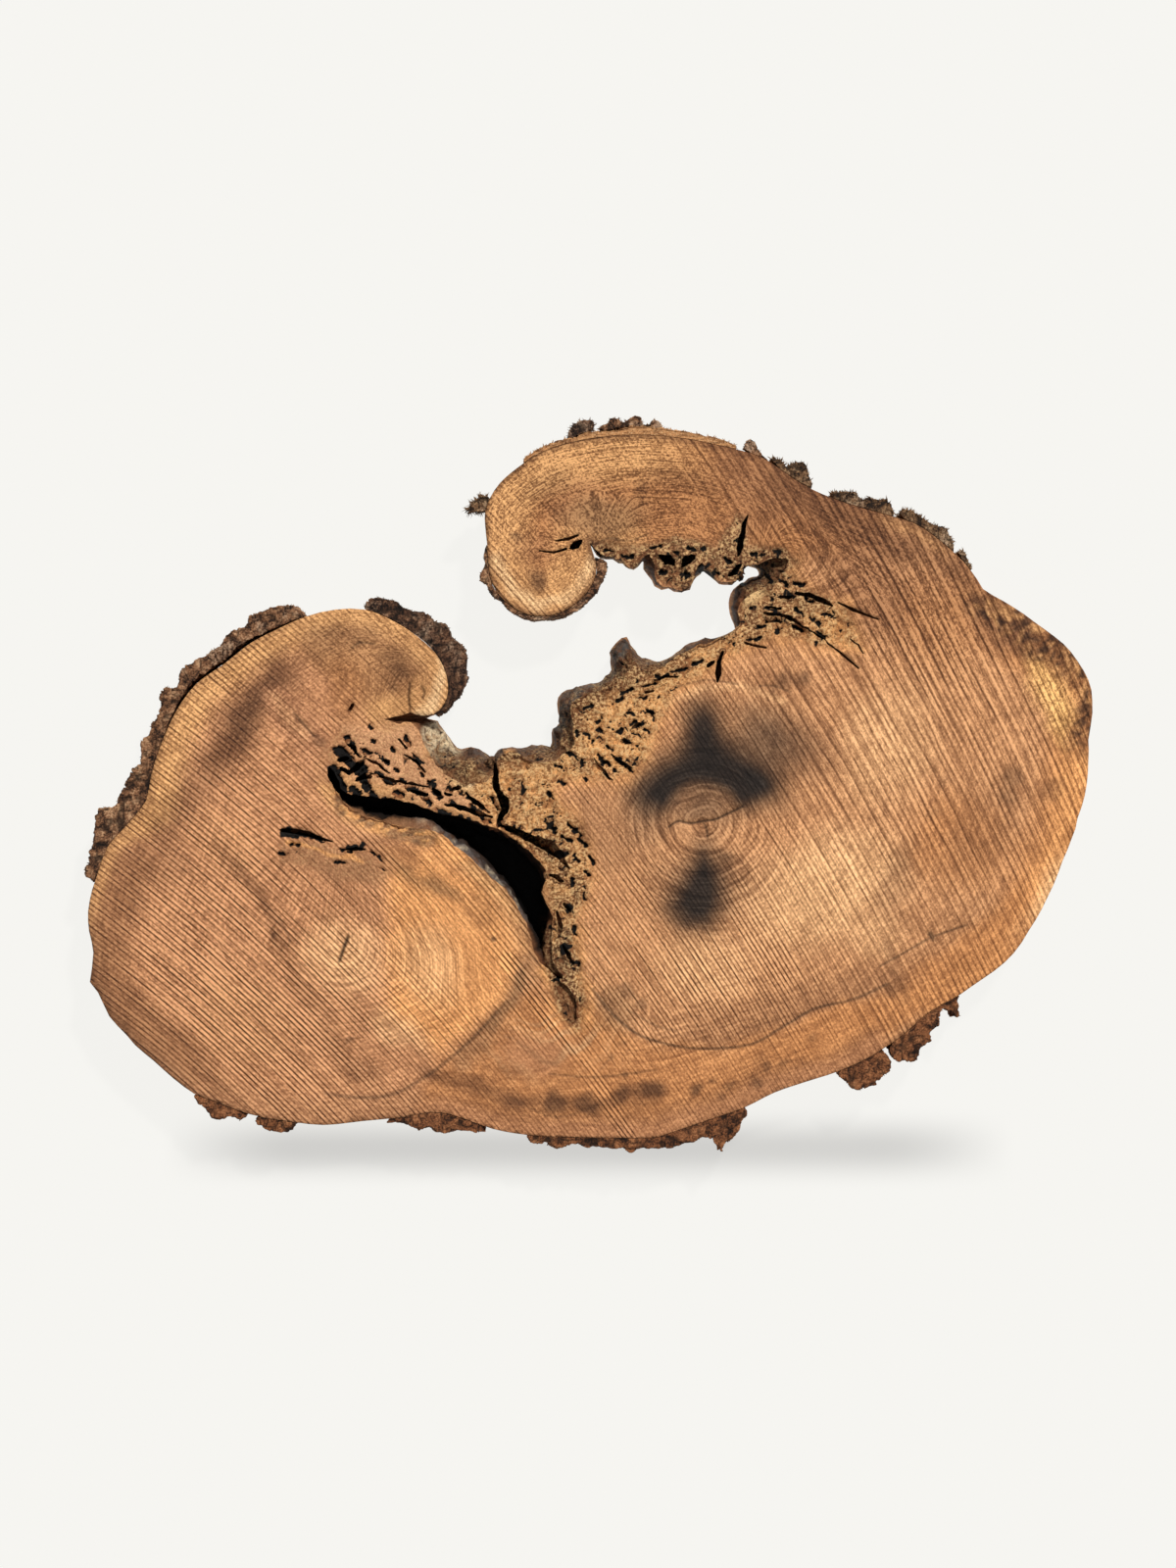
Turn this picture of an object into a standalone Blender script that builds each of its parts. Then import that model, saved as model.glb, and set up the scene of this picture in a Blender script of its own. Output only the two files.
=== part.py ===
"""A thick slice sawn across a twin-stemmed tree, lying on one of its sawn faces.

One body of wood has two curled lobes round an open hollow, a rotten pocket between the two stems,
and cracks. Plates of bark and bast still hang on its rim. The plan is drawn in plan units from
the slice's middle, +X along its length and +Y towards the upper arm, and is scaled to the real
length. +Z is up, and the origin is under the middle of the whole slice, on its lower face.
"""

import math

import bmesh
import bpy
from mathutils import Vector, noise

# Driving dimensions, in metres.
SLICE_LENGTH = 1.141
SLICE_THICKNESS = 0.1016
SEAT_GAP = 0.0004

# The slice's length in plan units, and where its middle falls across the plan.
PLAN_LENGTH = 1031.0
UNIT = SLICE_LENGTH / PLAN_LENGTH
PLAN_MIDDLE = (0.1, -0.3)

# Depths below the upper face at which the rim is shaped, and where its lower ledges are out fully.
LEVEL_DEPTHS = (0.0, 0.010, 0.025, 0.045, 0.072, SLICE_THICKNESS)
LEDGE_DEPTH = 0.042

# The size of the walls' lumps across and along the grain, and how much their finer half adds.
WALL_LUMP = 0.016
WALL_GRAIN = 0.055
BARK_LUMP = 0.017
BARK_GRAIN = 0.050
LUMP_STRENGTH = 1.3
FINE_LUMP_STRENGTH = 0.5
FINE_LUMP_RATIO = 2.1
FINE_LUMP_SHIFT = Vector((5.0, 9.0, 2.0))
SEED_SHIFT = (7.3, -3.1)

# How rough bark is: its reach, at most this share of the plate, and its lean in below the face.
BARK_ROUGHNESS = 0.0032
THINNEST_BARK_SHARE = 0.38
BARK_LEAN = 0.5
BARK_LEAN_DEPTH = 0.02
BARK_END_SHARE = 0.17

# Steps along the rim: long on round stretches, short in the hollow.
STEP_ROUND = 0.014
STEP_CURL = 0.0085
STEP_HOLLOW = 0.0062
STEP_BARK = 0.0065

# The least height between two levels of a plate.
LEVEL_CLEARANCE = 0.004

# How far the cutters rise over the face, and how narrow a crack is at its bottom.
CUTTER_RISE = 0.002
CRACK_TAPER = 0.45

# Roughness of each kind of rim, in metres.
SMOOTH = 0.0
BARE = 0.0010
ROTTEN = 0.0024
CAVE = 0.0008

WOOD_COLOUR = (0.46, 0.235, 0.095)
BARK_COLOUR = (0.115, 0.062, 0.036)
BAST_COLOUR = (0.40, 0.225, 0.11)

# The rim of the wood, clockwise from the left. Bark-covered stretches are smooth.
LEFT_FLANK = (
    (-506, -108), (-500, -90), (-490, -64), (-467, -38), (-451, -17), (-446, 8), (-437, 37),
    (-421, 73), (-400, 102), (-372, 122), (-344, 144), (-315, 159), (-288, 171), (-258, 178),
    (-228, 178),
)
LEFT_CURL = (
    (-200, 167), (-172, 149), (-152, 128), (-143, 103), (-146, 83), ((-158, 71), (-156, 73)),
    ((-173, 70), (-159, 71)), ((-181, 73), (-162, 70)),
)

# In the hollow each place has two points: at the upper face, and on the ledge below it.
# The slit under the left curl closes on the way down.
CURL_SLIT = (
    ((-190, 70), (-164, 69)), ((-209, 66), (-166, 68)), ((-196, 63), (-163, 67)),
    ((-180, 62), (-159, 66)), ((-173, 56), (-155, 65)),
)
BAY_SHORE = (
    ((-170, 50), (-153, 62)), ((-166, 38), (-146, 53)), ((-159, 26), (-139, 43)),
    ((-151, 15), (-130, 37)), ((-142, 7), (-121, 39)), ((-130, 1), (-113, 36)),
    ((-116, 0), (-106, 32)), ((-104, 2), (-100, 29)), ((-94, 17), (-95, 33)),
    ((-88, 30), (-89, 38)), ((-78, 33), (-78, 39)), ((-68, 28), (-69, 37)),
    ((-57, 22), (-58, 40)), ((-45, 23), (-48, 40)), ((-32, 27), (-39, 39)),
    ((-22, 34), (-38, 48)), ((-15, 43), (-36, 57)), ((-14, 55), (-31, 62)),
    ((-17, 67), (-32, 73)), ((-19, 78), (-33, 84)), ((-12, 86), (-27, 93)),
    ((-2, 91), (-15, 99)), ((10, 95), (-3, 103)), ((20, 101), (11, 104)),
    ((31, 108), (22, 113)), ((38, 113), (24, 125)), ((42, 116), (21, 136)),
    ((45, 118), (29, 146)), ((48, 119), (40, 152)), ((51, 119), (45, 144)),
    ((55, 118), (51, 133)), ((61, 116), (59, 129)), ((69, 117), (68, 128)),
    ((78, 122), (77, 128)), ((87, 129), (86, 133)), ((98, 135), (95, 140)),
    ((110, 141), (106, 146)), ((122, 145), (119, 151)), ((133, 147), (131, 151)),
    ((144, 152), (142, 155)), ((151, 158), (151, 160)),
)
CAVE_WALL = (
    ((154, 166), (148, 170)), ((153, 176), (145, 182)), ((156, 185), (146, 192)),
    ((163, 192), (150, 201)), ((171, 196), (157, 207)), ((179, 199), (166, 212)),
    ((187, 197), (174, 215)), ((191, 205), (176, 218)), ((197, 214), (175, 220)),
    ((203, 222), (172, 222)), ((205, 229), (168, 223)), ((196, 231), (164, 224)),
    ((184, 229), (160, 224)), ((172, 225), (157, 223)), ((163, 223), (155, 221)),
    ((157, 216), (154, 216)),
)
ARM_UNDERSIDE = (
    ((153, 209), (152, 209)), ((147, 205), (147, 205)), ((140, 206), (140, 206)),
    ((132, 210), (132, 210)), ((126, 215), (126, 215)), ((121, 220), (121, 219)),
    ((116, 227), (117, 217)), ((111, 223), (112, 214)), ((109, 215), (109, 210)),
    ((109, 207), (108, 205)), ((105, 201), (105, 201)), ((96, 196), (96, 196)),
    ((89, 199), (89, 199)), ((83, 202), (83, 202)), ((76, 201), (76, 201)),
    ((70, 206), (69, 205)), ((68, 214), (65, 210)), ((67, 222), (61, 216)),
    ((65, 230), (57, 223)), ((61, 234), (56, 230)), ((54, 229), (53, 228)),
    ((47, 221), (47, 221)), ((42, 222), (42, 222)), ((36, 228), (36, 228)),
)
ARM_CROOK = ((24, 231), (13, 234), (7, 240), (2, 247))
ARM_CURL = (
    (4, 239), (8, 226), (8, 214), (2, 200), (-14, 183), (-38, 172), (-62, 173), (-85, 187),
    (-98, 205), (-102, 228), (-103, 245),
)
ARM_TIP = ((-105, 264), (-105, 278), (-100, 292), (-90, 307), (-73, 322), (-52, 336))
ARM_TOP = ((-30, 345), (-10, 350), (25, 355), (60, 356), (100, 352), (135, 345), (165, 338))
SHOULDER = (
    (185, 329), (206, 314), (228, 301), (262, 287), (300, 276), (335, 265), (362, 246),
    (383, 227), (397, 209), (403, 199),
)
RIGHT_SIDE = (
    (425, 186), (455, 166), (485, 143), (506, 116), (515, 85), (511, 45), (509, 0), (500, -35),
    (480, -90), (457, -139), (425, -182), (380, -214),
)
LOWER_RIGHT = ((348, -233), (320, -257), (290, -277), (256, -293), (222, -304), (190, -315))
BOTTOM = (
    (160, -330), (125, -342), (90, -354), (72, -360), (30, -361), (-25, -360), (-63, -358),
    (-97, -352), (-122, -343), (-140, -337), (-163, -335), (-190, -340), (-230, -344),
    (-270, -348), (-300, -345), (-345, -337), (-385, -322), (-402, -316),
)
LOWER_LEFT = (
    (-434, -291), (-462, -266), (-488, -237), (-500, -213), (-508, -202), (-506, -188),
    (-505, -172), (-509, -150), (-510, -130),
)

# The rotten pocket between the stems: each place at the upper face, and deep down.
POCKET_DEPTHS = (-CUTTER_RISE, 0.0, 0.012, 0.034, 0.082)
POCKET_SPREAD = (0.0, 0.0, 0.35, 0.85, 1.15)
POCKET = (
    ((-264, 18), (-263, 14)), ((-259, 12), (-260, 11)), ((-255, 3), (-257, 3)),
    ((-250, -6), (-252, -6)), ((-242, -11), (-240, -13)), ((-230, -12), (-226, -14)),
    ((-216, -14), (-213, -16)), ((-200, -15), (-198, -18)), ((-184, -18), (-182, -22)),
    ((-170, -23), (-169, -27)), ((-154, -29), (-154, -33)), ((-138, -32), (-139, -37)),
    ((-120, -37), (-122, -43)), ((-105, -42), (-108, -48)), ((-92, -46), (-95, -53)),
    ((-80, -53), (-85, -60)), ((-68, -62), (-74, -69)), ((-57, -71), (-64, -79)),
    ((-48, -80), (-55, -88)), ((-43, -89), (-51, -97)), ((-44, -99), (-51, -105)),
    ((-47, -109), (-53, -112)), ((-43, -120), (-49, -121)), ((-38, -130), (-44, -131)),
    ((-36, -142), (-42, -144)), ((-38, -155), (-43, -157)), ((-37, -170), (-42, -170)),
    ((-35, -183), (-40, -180)), ((-29, -192), (-36, -188)), ((-25, -199), (-33, -193)),
    ((-31, -199), (-37, -192)), ((-40, -191), (-43, -185)), ((-49, -182), (-49, -176)),
    ((-55, -170), (-53, -165)), ((-59, -156), (-56, -153)), ((-62, -142), (-59, -140)),
    ((-70, -130), (-65, -128)), ((-76, -118), (-70, -115)), ((-86, -105), (-78, -103)),
    ((-97, -97), (-86, -93)), ((-110, -84), (-96, -83)), ((-124, -72), (-110, -68)),
    ((-138, -61), (-124, -56)), ((-148, -51), (-138, -47)), ((-162, -47), (-152, -40)),
    ((-178, -45), (-168, -34)), ((-196, -41), (-186, -30)), ((-214, -37), (-203, -26)),
    ((-230, -32), (-218, -22)), ((-242, -24), (-229, -19)), ((-251, -15), (-242, -16)),
    ((-258, -6), (-255, -5)), ((-265, 7), (-262, 6)), ((-267, 15), (-264, 13)),
)

# Cracks and pits: the depth in metres, then points along its middle with the width at each.
CRACKS = {
    "split_to_bay": (0.060, (
        (-97, 22, 3), (-94, 12, 6), (-94, 2, 7), (-92, -7, 7), (-86, -16, 9), (-84, -25, 8),
        (-89, -34, 7), (-92, -43, 6),
    )),
    "fissure_over_pocket": (0.045, (
        (-88, -43, 5), (-76, -47, 8), (-62, -54, 8), (-50, -59, 9), (-41, -63, 12),
        (-33, -69, 11), (-26, -77, 7), (-20, -85, 2),
    )),
    "crack_above_splinter": (0.025, (
        (-146, -21, 2), (-130, -24, 5), (-114, -30, 6), (-98, -34, 2),
    )),
    "crack_upper_shelf": (0.025, ((-125, -9, 3), (-115, -19, 6), (-107, -25, 5), (-100, -29, 2))),
    "pit_shelf_left": (0.020, ((-181, -6, 3), (-171, -9, 5), (-163, -12, 3))),
    "pit_shelf_middle": (0.020, ((-159, -5, 3), (-152, -10, 6))),
    "pit_shelf_right": (0.014, ((-146, -9, 3), (-140, -11, 4))),
    "pit_shelf_end": (0.014, ((-138, -5, 4), (-131, -3, 4))),
    "pit_small_a": (0.008, ((-163, 3, 3), (-158, 0, 3))),
    "crack_long_thin": (0.010, ((-222, 10, 2), (-200, 4, 3), (-180, 0, 2.5), (-163, -3, 2))),
    "pit_cluster_top": (0.016, ((-245, 40, 2), (-239, 36, 5), (-233, 28, 2))),
    "pit_cluster_left": (0.014, ((-254, 24, 5), (-245, 26, 5))),
    "pit_cluster_middle": (0.022, ((-252, 16, 4), (-244, 12, 6), (-236, 17, 8), (-230, 23, 6))),
    "pit_cluster_low": (0.022, ((-236, 4, 5), (-227, 8, 8), (-221, 7, 4))),
    "crack_cluster_tail": (0.008, ((-229, 28, 2), (-214, 19, 2.5), (-202, 11, 1.8))),
    "pit_small_b": (0.010, ((-209, 25, 3.5), (-203, 22, 4))),
    "crack_upper_a": (0.010, ((-193, 46, 2), (-185, 37, 3))),
    "crack_upper_b": (0.010, ((-186, 30, 2), (-176, 23, 3), (-167, 12, 2))),
    "crack_left_long": (0.030, (
        (-313, -47, 4), (-300, -48, 6), (-285, -51, 6), (-272, -56, 4), (-261, -59, 1.6),
    )),
    "crack_left_short": (0.012, ((-248, -67, 1.8), (-237, -66, 5), (-227, -67, 1.8))),
    "pit_under_curl": (0.014, ((-244, 74, 3.5), (-240, 81, 4))),
    "crack_arm": (0.060, ((163, 274, 1.8), (160, 266, 4), (157, 254, 6), (155, 243, 6), (153, 233, 3))),
    "pit_arm_root": (0.040, ((156, 224, 4), (150, 217, 8), (145, 213, 4))),
    "pit_lobe_left": (0.050, ((74, 233, 6), (82, 229, 12), (87, 225, 7))),
    "pit_lobe_right": (0.050, ((97, 223, 5), (102, 229, 9), (107, 232, 7))),
    "hole_arm_curl": (0.055, ((-17, 241, 5), (-12, 244, 9), (-7, 248, 4))),
    "crack_arm_curl_low": (0.015, ((-50, 238, 1.6), (-35, 236, 2.2), (-22, 240, 3))),
    "crack_arm_curl_high": (0.015, ((-33, 248, 1.8), (-20, 250, 3.5), (-10, 254, 2.5))),
    "crack_punk_top": (0.030, ((212, 195, 3), (225, 193, 5), (238, 188, 6), (249, 182, 2))),
    "crack_punk_end": (0.015, ((255, 185, 1.8), (270, 178, 4), (285, 172, 2.5), (296, 168, 1.6))),
    "crack_punk_left": (0.018, ((194, 191, 2.5), (205, 190, 4.5), (211, 191, 2))),
    "pit_punk_middle": (0.018, ((182, 181, 3), (190, 180, 4.5), (197, 179, 2.5))),
    "crack_punk_low": (0.020, (
        (180, 174, 2.5), (195, 173, 4), (210, 167, 4.5), (225, 158, 2.5), (238, 150, 2),
        (250, 140, 2), (262, 130, 2.5), (276, 118, 1.8),
    )),
    "crack_punk_far": (0.010, ((268, 148, 1.8), (275, 142, 2.5), (281, 133, 1.6))),
    "crack_shore_right": (0.010, ((160, 144, 1.8), (170, 141, 3), (182, 139, 2.2))),
    "crack_shore_deep": (0.035, ((137, 135, 3), (134, 126, 4), (133, 113, 7), (132, 104, 2))),
    "pit_shore_deep": (0.025, ((122, 120, 4), (128, 125, 5))),
    "crack_shore_flat": (0.012, ((68, 106, 1.8), (80, 109, 3), (92, 110, 1.8))),
    "pit_punk_a": (0.008, ((59, 93, 3), (66, 95, 3))),
    "pit_punk_b": (0.010, ((61, 75, 3), (68, 73, 4))),
    "pit_punk_c": (0.010, ((45, 57, 3), (54, 62, 5))),
    "pit_punk_d": (0.008, ((35, 44, 3), (42, 42, 3))),
    "crack_punk_e": (0.008, ((23, 31, 1.8), (33, 23, 3), (45, 16, 1.6))),
    "crack_punk_f": (0.008, ((7, 26, 1.8), (15, 15, 3.5), (25, 4, 1.8))),
    "pit_punk_g": (0.015, ((-40, -93, 3), (-30, -95, 7), (-26, -100, 3))),
    "pit_punk_h": (0.015, ((-24, -122, 3), (-19, -129, 5))),
    "crack_punk_i": (0.020, ((-31, -130, 3), (-28, -145, 6), (-30, -157, 3))),
    "crack_punk_j": (0.015, ((-25, -165, 3), (-20, -175, 4.5), (-15, -183, 2.5))),
    "punk_hollow_tip": (0.007, ((-28, -205, 10), (-23, -215, 16), (-19, -228, 18), (-15, -240, 8))),
}

# Each plate: where it starts and ends on the wood's rim, then its outer edge, both clockwise.
FULL_HEIGHT = (0.0, SLICE_THICKNESS)
BARK_PLATES = {
    "bark_left_flank": ((-499, -92), (-290, 170), (
        (-505, -101), (-510, -96), (-515, -88), (-510, -81), (-509, -66), (-504, -49),
        (-503, -38), (-499, -28), (-483, -20), (-478, -8), (-469, 5), (-465, 15), (-454, 27),
        (-457, 40), (-449, 49), (-443, 65), (-438, 78), (-438, 88), (-434, 97), (-419, 100),
        (-419, 108), (-409, 121), (-390, 129), (-385, 137), (-374, 144), (-371, 152),
        (-351, 161), (-346, 171), (-317, 181), (-302, 183), (-295, 178), (-290, 173),
    )),
    "bark_left_curl": ((-230, 178), (-156, 73), (
        (-229, 182), (-221, 189), (-212, 191), (-190, 182), (-160, 169), (-148, 164),
        (-141, 153), (-133, 146), (-127, 137), (-123, 124), (-124, 108), (-128, 95),
        (-136, 84), (-146, 75), (-153, 70),
    )),
    "bark_arm_curl": ((6, 233), (-103, 243), (
        (9, 231), (15, 229), (19, 226), (18, 216), (13, 206), (11, 198), (4, 189), (-6, 181),
        (-17, 174), (-30, 170), (-42, 168), (-52, 167), (-64, 169), (-75, 174), (-84, 179),
        (-90, 187), (-98, 192), (-101, 198), (-104, 205), (-109, 208), (-107, 217),
        (-105, 226), (-107, 233), (-105, 241),
    )),
    "bark_shoulder_near": ((194, 324), (227, 302), (
        (186, 332), (190, 335), (197, 328), (203, 322), (206, 326), (213, 328), (220, 328),
        (224, 323), (226, 315), (229, 306),
    )),
    "bark_shoulder_middle": ((248, 294), (309, 274), (
        (250, 299), (257, 298), (266, 299), (274, 297), (280, 291), (288, 292), (297, 291),
        (305, 292), (309, 285), (312, 278),
    )),
    "bark_shoulder_far": ((319, 272), (370, 240), (
        (318, 276), (325, 280), (333, 276), (343, 269), (351, 266), (358, 264), (366, 259),
        (370, 253), (373, 244),
    )),
    "bark_shoulder_end": ((382, 227), (392, 216), (
        (377, 237), (381, 239), (385, 235), (387, 229), (392, 222),
    )),
    "bark_lower_right_far": ((376, -216), (309, -266), (
        (377, -221), (378, -230), (379, -238), (373, -240), (370, -233), (363, -230),
        (358, -237), (358, -247), (350, -255), (350, -263), (341, -268), (338, -277),
        (330, -283), (318, -284), (311, -279), (308, -271),
    )),
    "bark_lower_right_near": ((303, -270), (257, -293), (
        (303, -275), (309, -284), (308, -292), (299, -299), (293, -306), (285, -311),
        (275, -312), (268, -309), (262, -303), (256, -297),
    )),
    "bark_bottom_middle": ((158, -331), (-61, -358), (
        (161, -333), (163, -338), (157, -344), (155, -350), (150, -358), (143, -364),
        (139, -368), (137, -375), (131, -373), (128, -363), (115, -363), (105, -368),
        (80, -372), (52, -374), (44, -377), (38, -372), (15, -371), (-5, -371), (-15, -368),
        (-28, -371), (-38, -370), (-44, -366), (-52, -369), (-60, -366), (-62, -362),
    )),
    "bark_bottom_centre": ((-104, -350), (-209, -342), (
        (-104, -355), (-115, -356), (-125, -354), (-136, -352), (-145, -356), (-155, -355),
        (-162, -351), (-172, -354), (-180, -351), (-190, -348), (-206, -346),
    )),
    "bark_bottom_left": ((-299, -345), (-335, -338), (
        (-298, -348), (-301, -353), (-308, -355), (-316, -354), (-330, -351), (-338, -347),
        (-340, -341),
    )),
    "bark_bottom_far_left": ((-356, -333), (-401, -316), (
        (-349, -338), (-355, -344), (-367, -341), (-375, -344), (-383, -340), (-391, -333),
        (-398, -326), (-402, -320),
    )),
}
BAST_PLATES = {
    "bast_arm_top": ((-64, 328), (147, 342), (
        (-65, 333), (-51, 342), (-40, 347), (-28, 352), (-14, 356), (0, 359), (20, 361),
        (45, 364), (75, 364), (100, 360), (125, 355), (145, 349), (152, 345),
    )),
}

# Tufts that cling to part of the height: span on the rim, heights, outer edge.
TUFTS = {
    "bast_tuft_tip": ((-105, 278), (-101, 291), (0.058, 0.099), (
        (-108, 278), (-113, 279), (-120, 277), (-123, 281), (-116, 287), (-109, 293),
        (-103, 294),
    )),
    "bark_curled_flake": ((165, 338), (182, 330), (0.050, 0.100), (
        (159, 343), (160, 351), (167, 353), (171, 350), (174, 342), (178, 336),
    )),
}

# Flakes of outer bark that sit on the bast along the arm's top.
BAST_FLAKES = {
    "bark_flake_dark": ((11, 361), (74, 364), (
        (12, 366), (20, 367), (23, 373), (30, 374), (36, 371), (42, 373), (48, 376), (54, 374),
        (56, 367), (62, 366), (65, 371), (71, 371), (75, 367),
    )),
    "bark_flake_pale": ((-22, 354), (1, 359), (
        (-20, 359), (-16, 366), (-9, 371), (-3, 372), (4, 373), (7, 370), (4, 364),
    )),
}

# The flank's plate has come loose from the wood along its upper half.
LOOSE_PLATE = "bark_left_flank"
LOOSE_FROM = 0.42
LOOSE_LIFT = 0.0036
LOOSE_ROUNDING = 0.7


def clear_scene():
    for scene_object in list(bpy.data.objects):
        bpy.data.objects.remove(scene_object)


def new_collection(name):
    collection = bpy.data.collections.new(name)
    bpy.context.scene.collection.children.link(collection)
    return collection


def new_material(name, colour, roughness):
    material = bpy.data.materials.new(name)
    material.use_nodes = True
    shader = material.node_tree.nodes["Principled BSDF"]
    shader.inputs["Base Color"].default_value = (*colour, 1.0)
    shader.inputs["Roughness"].default_value = roughness
    shader.inputs["Metallic"].default_value = 0.0
    material.diffuse_color = (*colour, 1.0)
    return material


def on_plan(point):
    """A plan point in metres, measured from the slice's middle."""
    return Vector(((point[0] - PLAN_MIDDLE[0]) * UNIT, (point[1] - PLAN_MIDDLE[1]) * UNIT))


def blend_points(first, second, time, start, end):
    share = (time - start) / (end - start)
    return first.lerp(second, share)


def curve_point(before, first, second, after, share):
    """A point of the centripetal curve between first and second."""
    times = [0.0]
    for left, right in ((before, first), (first, second), (second, after)):
        times.append(times[-1] + max((right - left).length, 1e-6) ** 0.5)
    time = times[1] + (times[2] - times[1]) * share
    low = blend_points(before, first, time, times[0], times[1])
    middle = blend_points(first, second, time, times[1], times[2])
    high = blend_points(second, after, time, times[2], times[3])
    low = blend_points(low, middle, time, times[0], times[2])
    high = blend_points(middle, high, time, times[1], times[3])
    return blend_points(low, high, time, times[1], times[2])


def smooth_ring(points, steps):
    """A closed smooth line through 4-D points, with steps[i] as the longest step after point i."""
    ring = []
    weights = []
    count = len(points)
    for index in range(count):
        before, first = points[index - 1], points[index]
        second, after = points[(index + 1) % count], points[(index + 2) % count]
        length = max((second.xy - first.xy).length, (second.zw - first.zw).length)
        step = min(steps[index], steps[(index + 1) % count])
        parts = max(1, round(length / step))
        for part in range(parts):
            ring.append(curve_point(before, first, second, after, part / parts))
            weights.append((index, (index + 1) % count, part / parts))
    return ring, weights


def smooth_line(points, step):
    """An open smooth line through 2-D points."""
    ends = [points[0] * 2 - points[1], *points, points[-1] * 2 - points[-2]]
    line = []
    for index in range(1, len(ends) - 2):
        parts = max(1, round((ends[index + 1] - ends[index]).length / step))
        for part in range(parts):
            line.append(curve_point(*ends[index - 1 : index + 3], part / parts))
    line.append(points[-1].copy())
    return line


def outward_normal(line, index, closed):
    """The normal on the left of a line walked clockwise, which points out of the wood."""
    last = len(line) - 1
    before = line[index - 1] if closed or index > 0 else line[0]
    after = line[(index + 1) % len(line)] if closed or index < last else line[last]
    along = after - before
    return Vector((-along.y, along.x)).normalized()


def lumps(point, depth, size, grain, seed):
    """Noise from about -1 to 1, drawn out along the trunk's grain."""
    place = Vector((point.x / size, point.y / size, depth / grain))
    place += seed * Vector((*SEED_SHIFT, 0.0))
    fine_place = place * FINE_LUMP_RATIO + FINE_LUMP_SHIFT
    return LUMP_STRENGTH * noise.noise(place) + FINE_LUMP_STRENGTH * noise.noise(fine_place)


def rim_controls():
    """The rim's points as (upper x, y, lower x, y), with each one's step and roughness."""
    sections = (
        (LEFT_FLANK, STEP_ROUND, SMOOTH),
        (LEFT_CURL, STEP_CURL, SMOOTH),
        (CURL_SLIT, STEP_HOLLOW, SMOOTH),
        (BAY_SHORE, STEP_HOLLOW, ROTTEN),
        (CAVE_WALL, STEP_HOLLOW, CAVE),
        (ARM_UNDERSIDE, STEP_HOLLOW, ROTTEN),
        (ARM_CROOK, STEP_HOLLOW, SMOOTH),
        (ARM_CURL, STEP_CURL, SMOOTH),
        (ARM_TIP, STEP_CURL, SMOOTH),
        (ARM_TOP, STEP_ROUND, SMOOTH),
        (SHOULDER, STEP_ROUND, SMOOTH),
        (RIGHT_SIDE, STEP_ROUND, BARE),
        (LOWER_RIGHT, STEP_ROUND, SMOOTH),
        (BOTTOM, STEP_ROUND, SMOOTH),
        (LOWER_LEFT, STEP_ROUND, BARE),
    )
    points, steps, roughness = [], [], []
    for section, step, rough in sections:
        for entry in section:
            upper, lower = entry if isinstance(entry[0], tuple) else (entry, entry)
            points.append(Vector((*on_plan(upper), *on_plan(lower))))
            steps.append(step)
            roughness.append(rough)
    return points, steps, roughness


def ledge_share(depth):
    """How far the rim has moved from its upper line to its ledge line at this depth."""
    share = min(depth / LEDGE_DEPTH, 1.0)
    return share * share * (3.0 - 2.0 * share)


def wood_rings():
    """The rim of the wood at each level, all with the same number of points."""
    points, steps, roughness = rim_controls()
    ring, weights = smooth_ring(points, steps)
    rings = []
    for depth in LEVEL_DEPTHS:
        share = ledge_share(depth)
        line = [place.xy.lerp(place.zw, share) for place in ring]
        moved = []
        for index, place in enumerate(line):
            first, second, part = weights[index]
            rough = roughness[first] * (1.0 - part) + roughness[second] * part
            push = rough * lumps(place, depth, WALL_LUMP, WALL_GRAIN, 1)
            moved.append(place + outward_normal(line, index, True) * push)
        rings.append(moved)
    return rings


def loft(name, rings, heights, material, collection):
    """A closed body through rings of equal count, which run clockwise from the top down."""
    bm = bmesh.new()
    rows = []
    for ring, height in zip(rings, heights):
        rows.append([bm.verts.new((point.x, point.y, height)) for point in ring])
    sides = []
    count = len(rows[0])
    for upper, lower in zip(rows, rows[1:]):
        for index in range(count):
            after = (index + 1) % count
            sides.append(bm.faces.new((upper[index], upper[after], lower[after], lower[index])))
    bmesh.ops.triangulate(bm, faces=sides)
    bm.faces.new(reversed(rows[0]))
    bm.faces.new(rows[-1])
    bmesh.ops.recalc_face_normals(bm, faces=bm.faces)
    mesh = bpy.data.meshes.new(name)
    bm.to_mesh(mesh)
    bm.free()
    body = bpy.data.objects.new(name, mesh)
    if material:
        mesh.materials.append(material)
    collection.objects.link(body)
    return body


def crack_ring(spine, widen):
    """The outline of a crack, clockwise, with its ends drawn to a point."""
    middle = [on_plan(place) for place in spine]
    half_widths = [place[2] * UNIT * 0.5 * widen for place in spine]
    left, right = [], []
    for index, place in enumerate(middle):
        side = outward_normal(middle, index, False) * half_widths[index]
        left.append(place + side)
        right.append(place - side)
    first_tip = middle[0] + (middle[0] - middle[1]).normalized() * half_widths[0]
    last_tip = middle[-1] + (middle[-1] - middle[-2]).normalized() * half_widths[-1]
    return [first_tip, *left, last_tip, *reversed(right)]


def add_crack_cutters(collection):
    for name, (depth, spine) in CRACKS.items():
        rings = [crack_ring(spine, 1.0), crack_ring(spine, CRACK_TAPER)]
        heights = (SLICE_THICKNESS + CUTTER_RISE, SLICE_THICKNESS - depth)
        loft(name, rings, heights, None, collection)


def add_pocket_cutter(collection):
    rings = []
    for share in POCKET_SPREAD:
        rings.append([on_plan(upper).lerp(on_plan(deep), share) for upper, deep in POCKET])
    heights = [SLICE_THICKNESS - depth for depth in POCKET_DEPTHS]
    loft("rot_pocket", rings, heights, None, collection)


def hide_cutters(collection):
    for cutter in collection.objects:
        cutter.hide_render = True
        cutter.display_type = "WIRE"
    collection.hide_render = True


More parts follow.
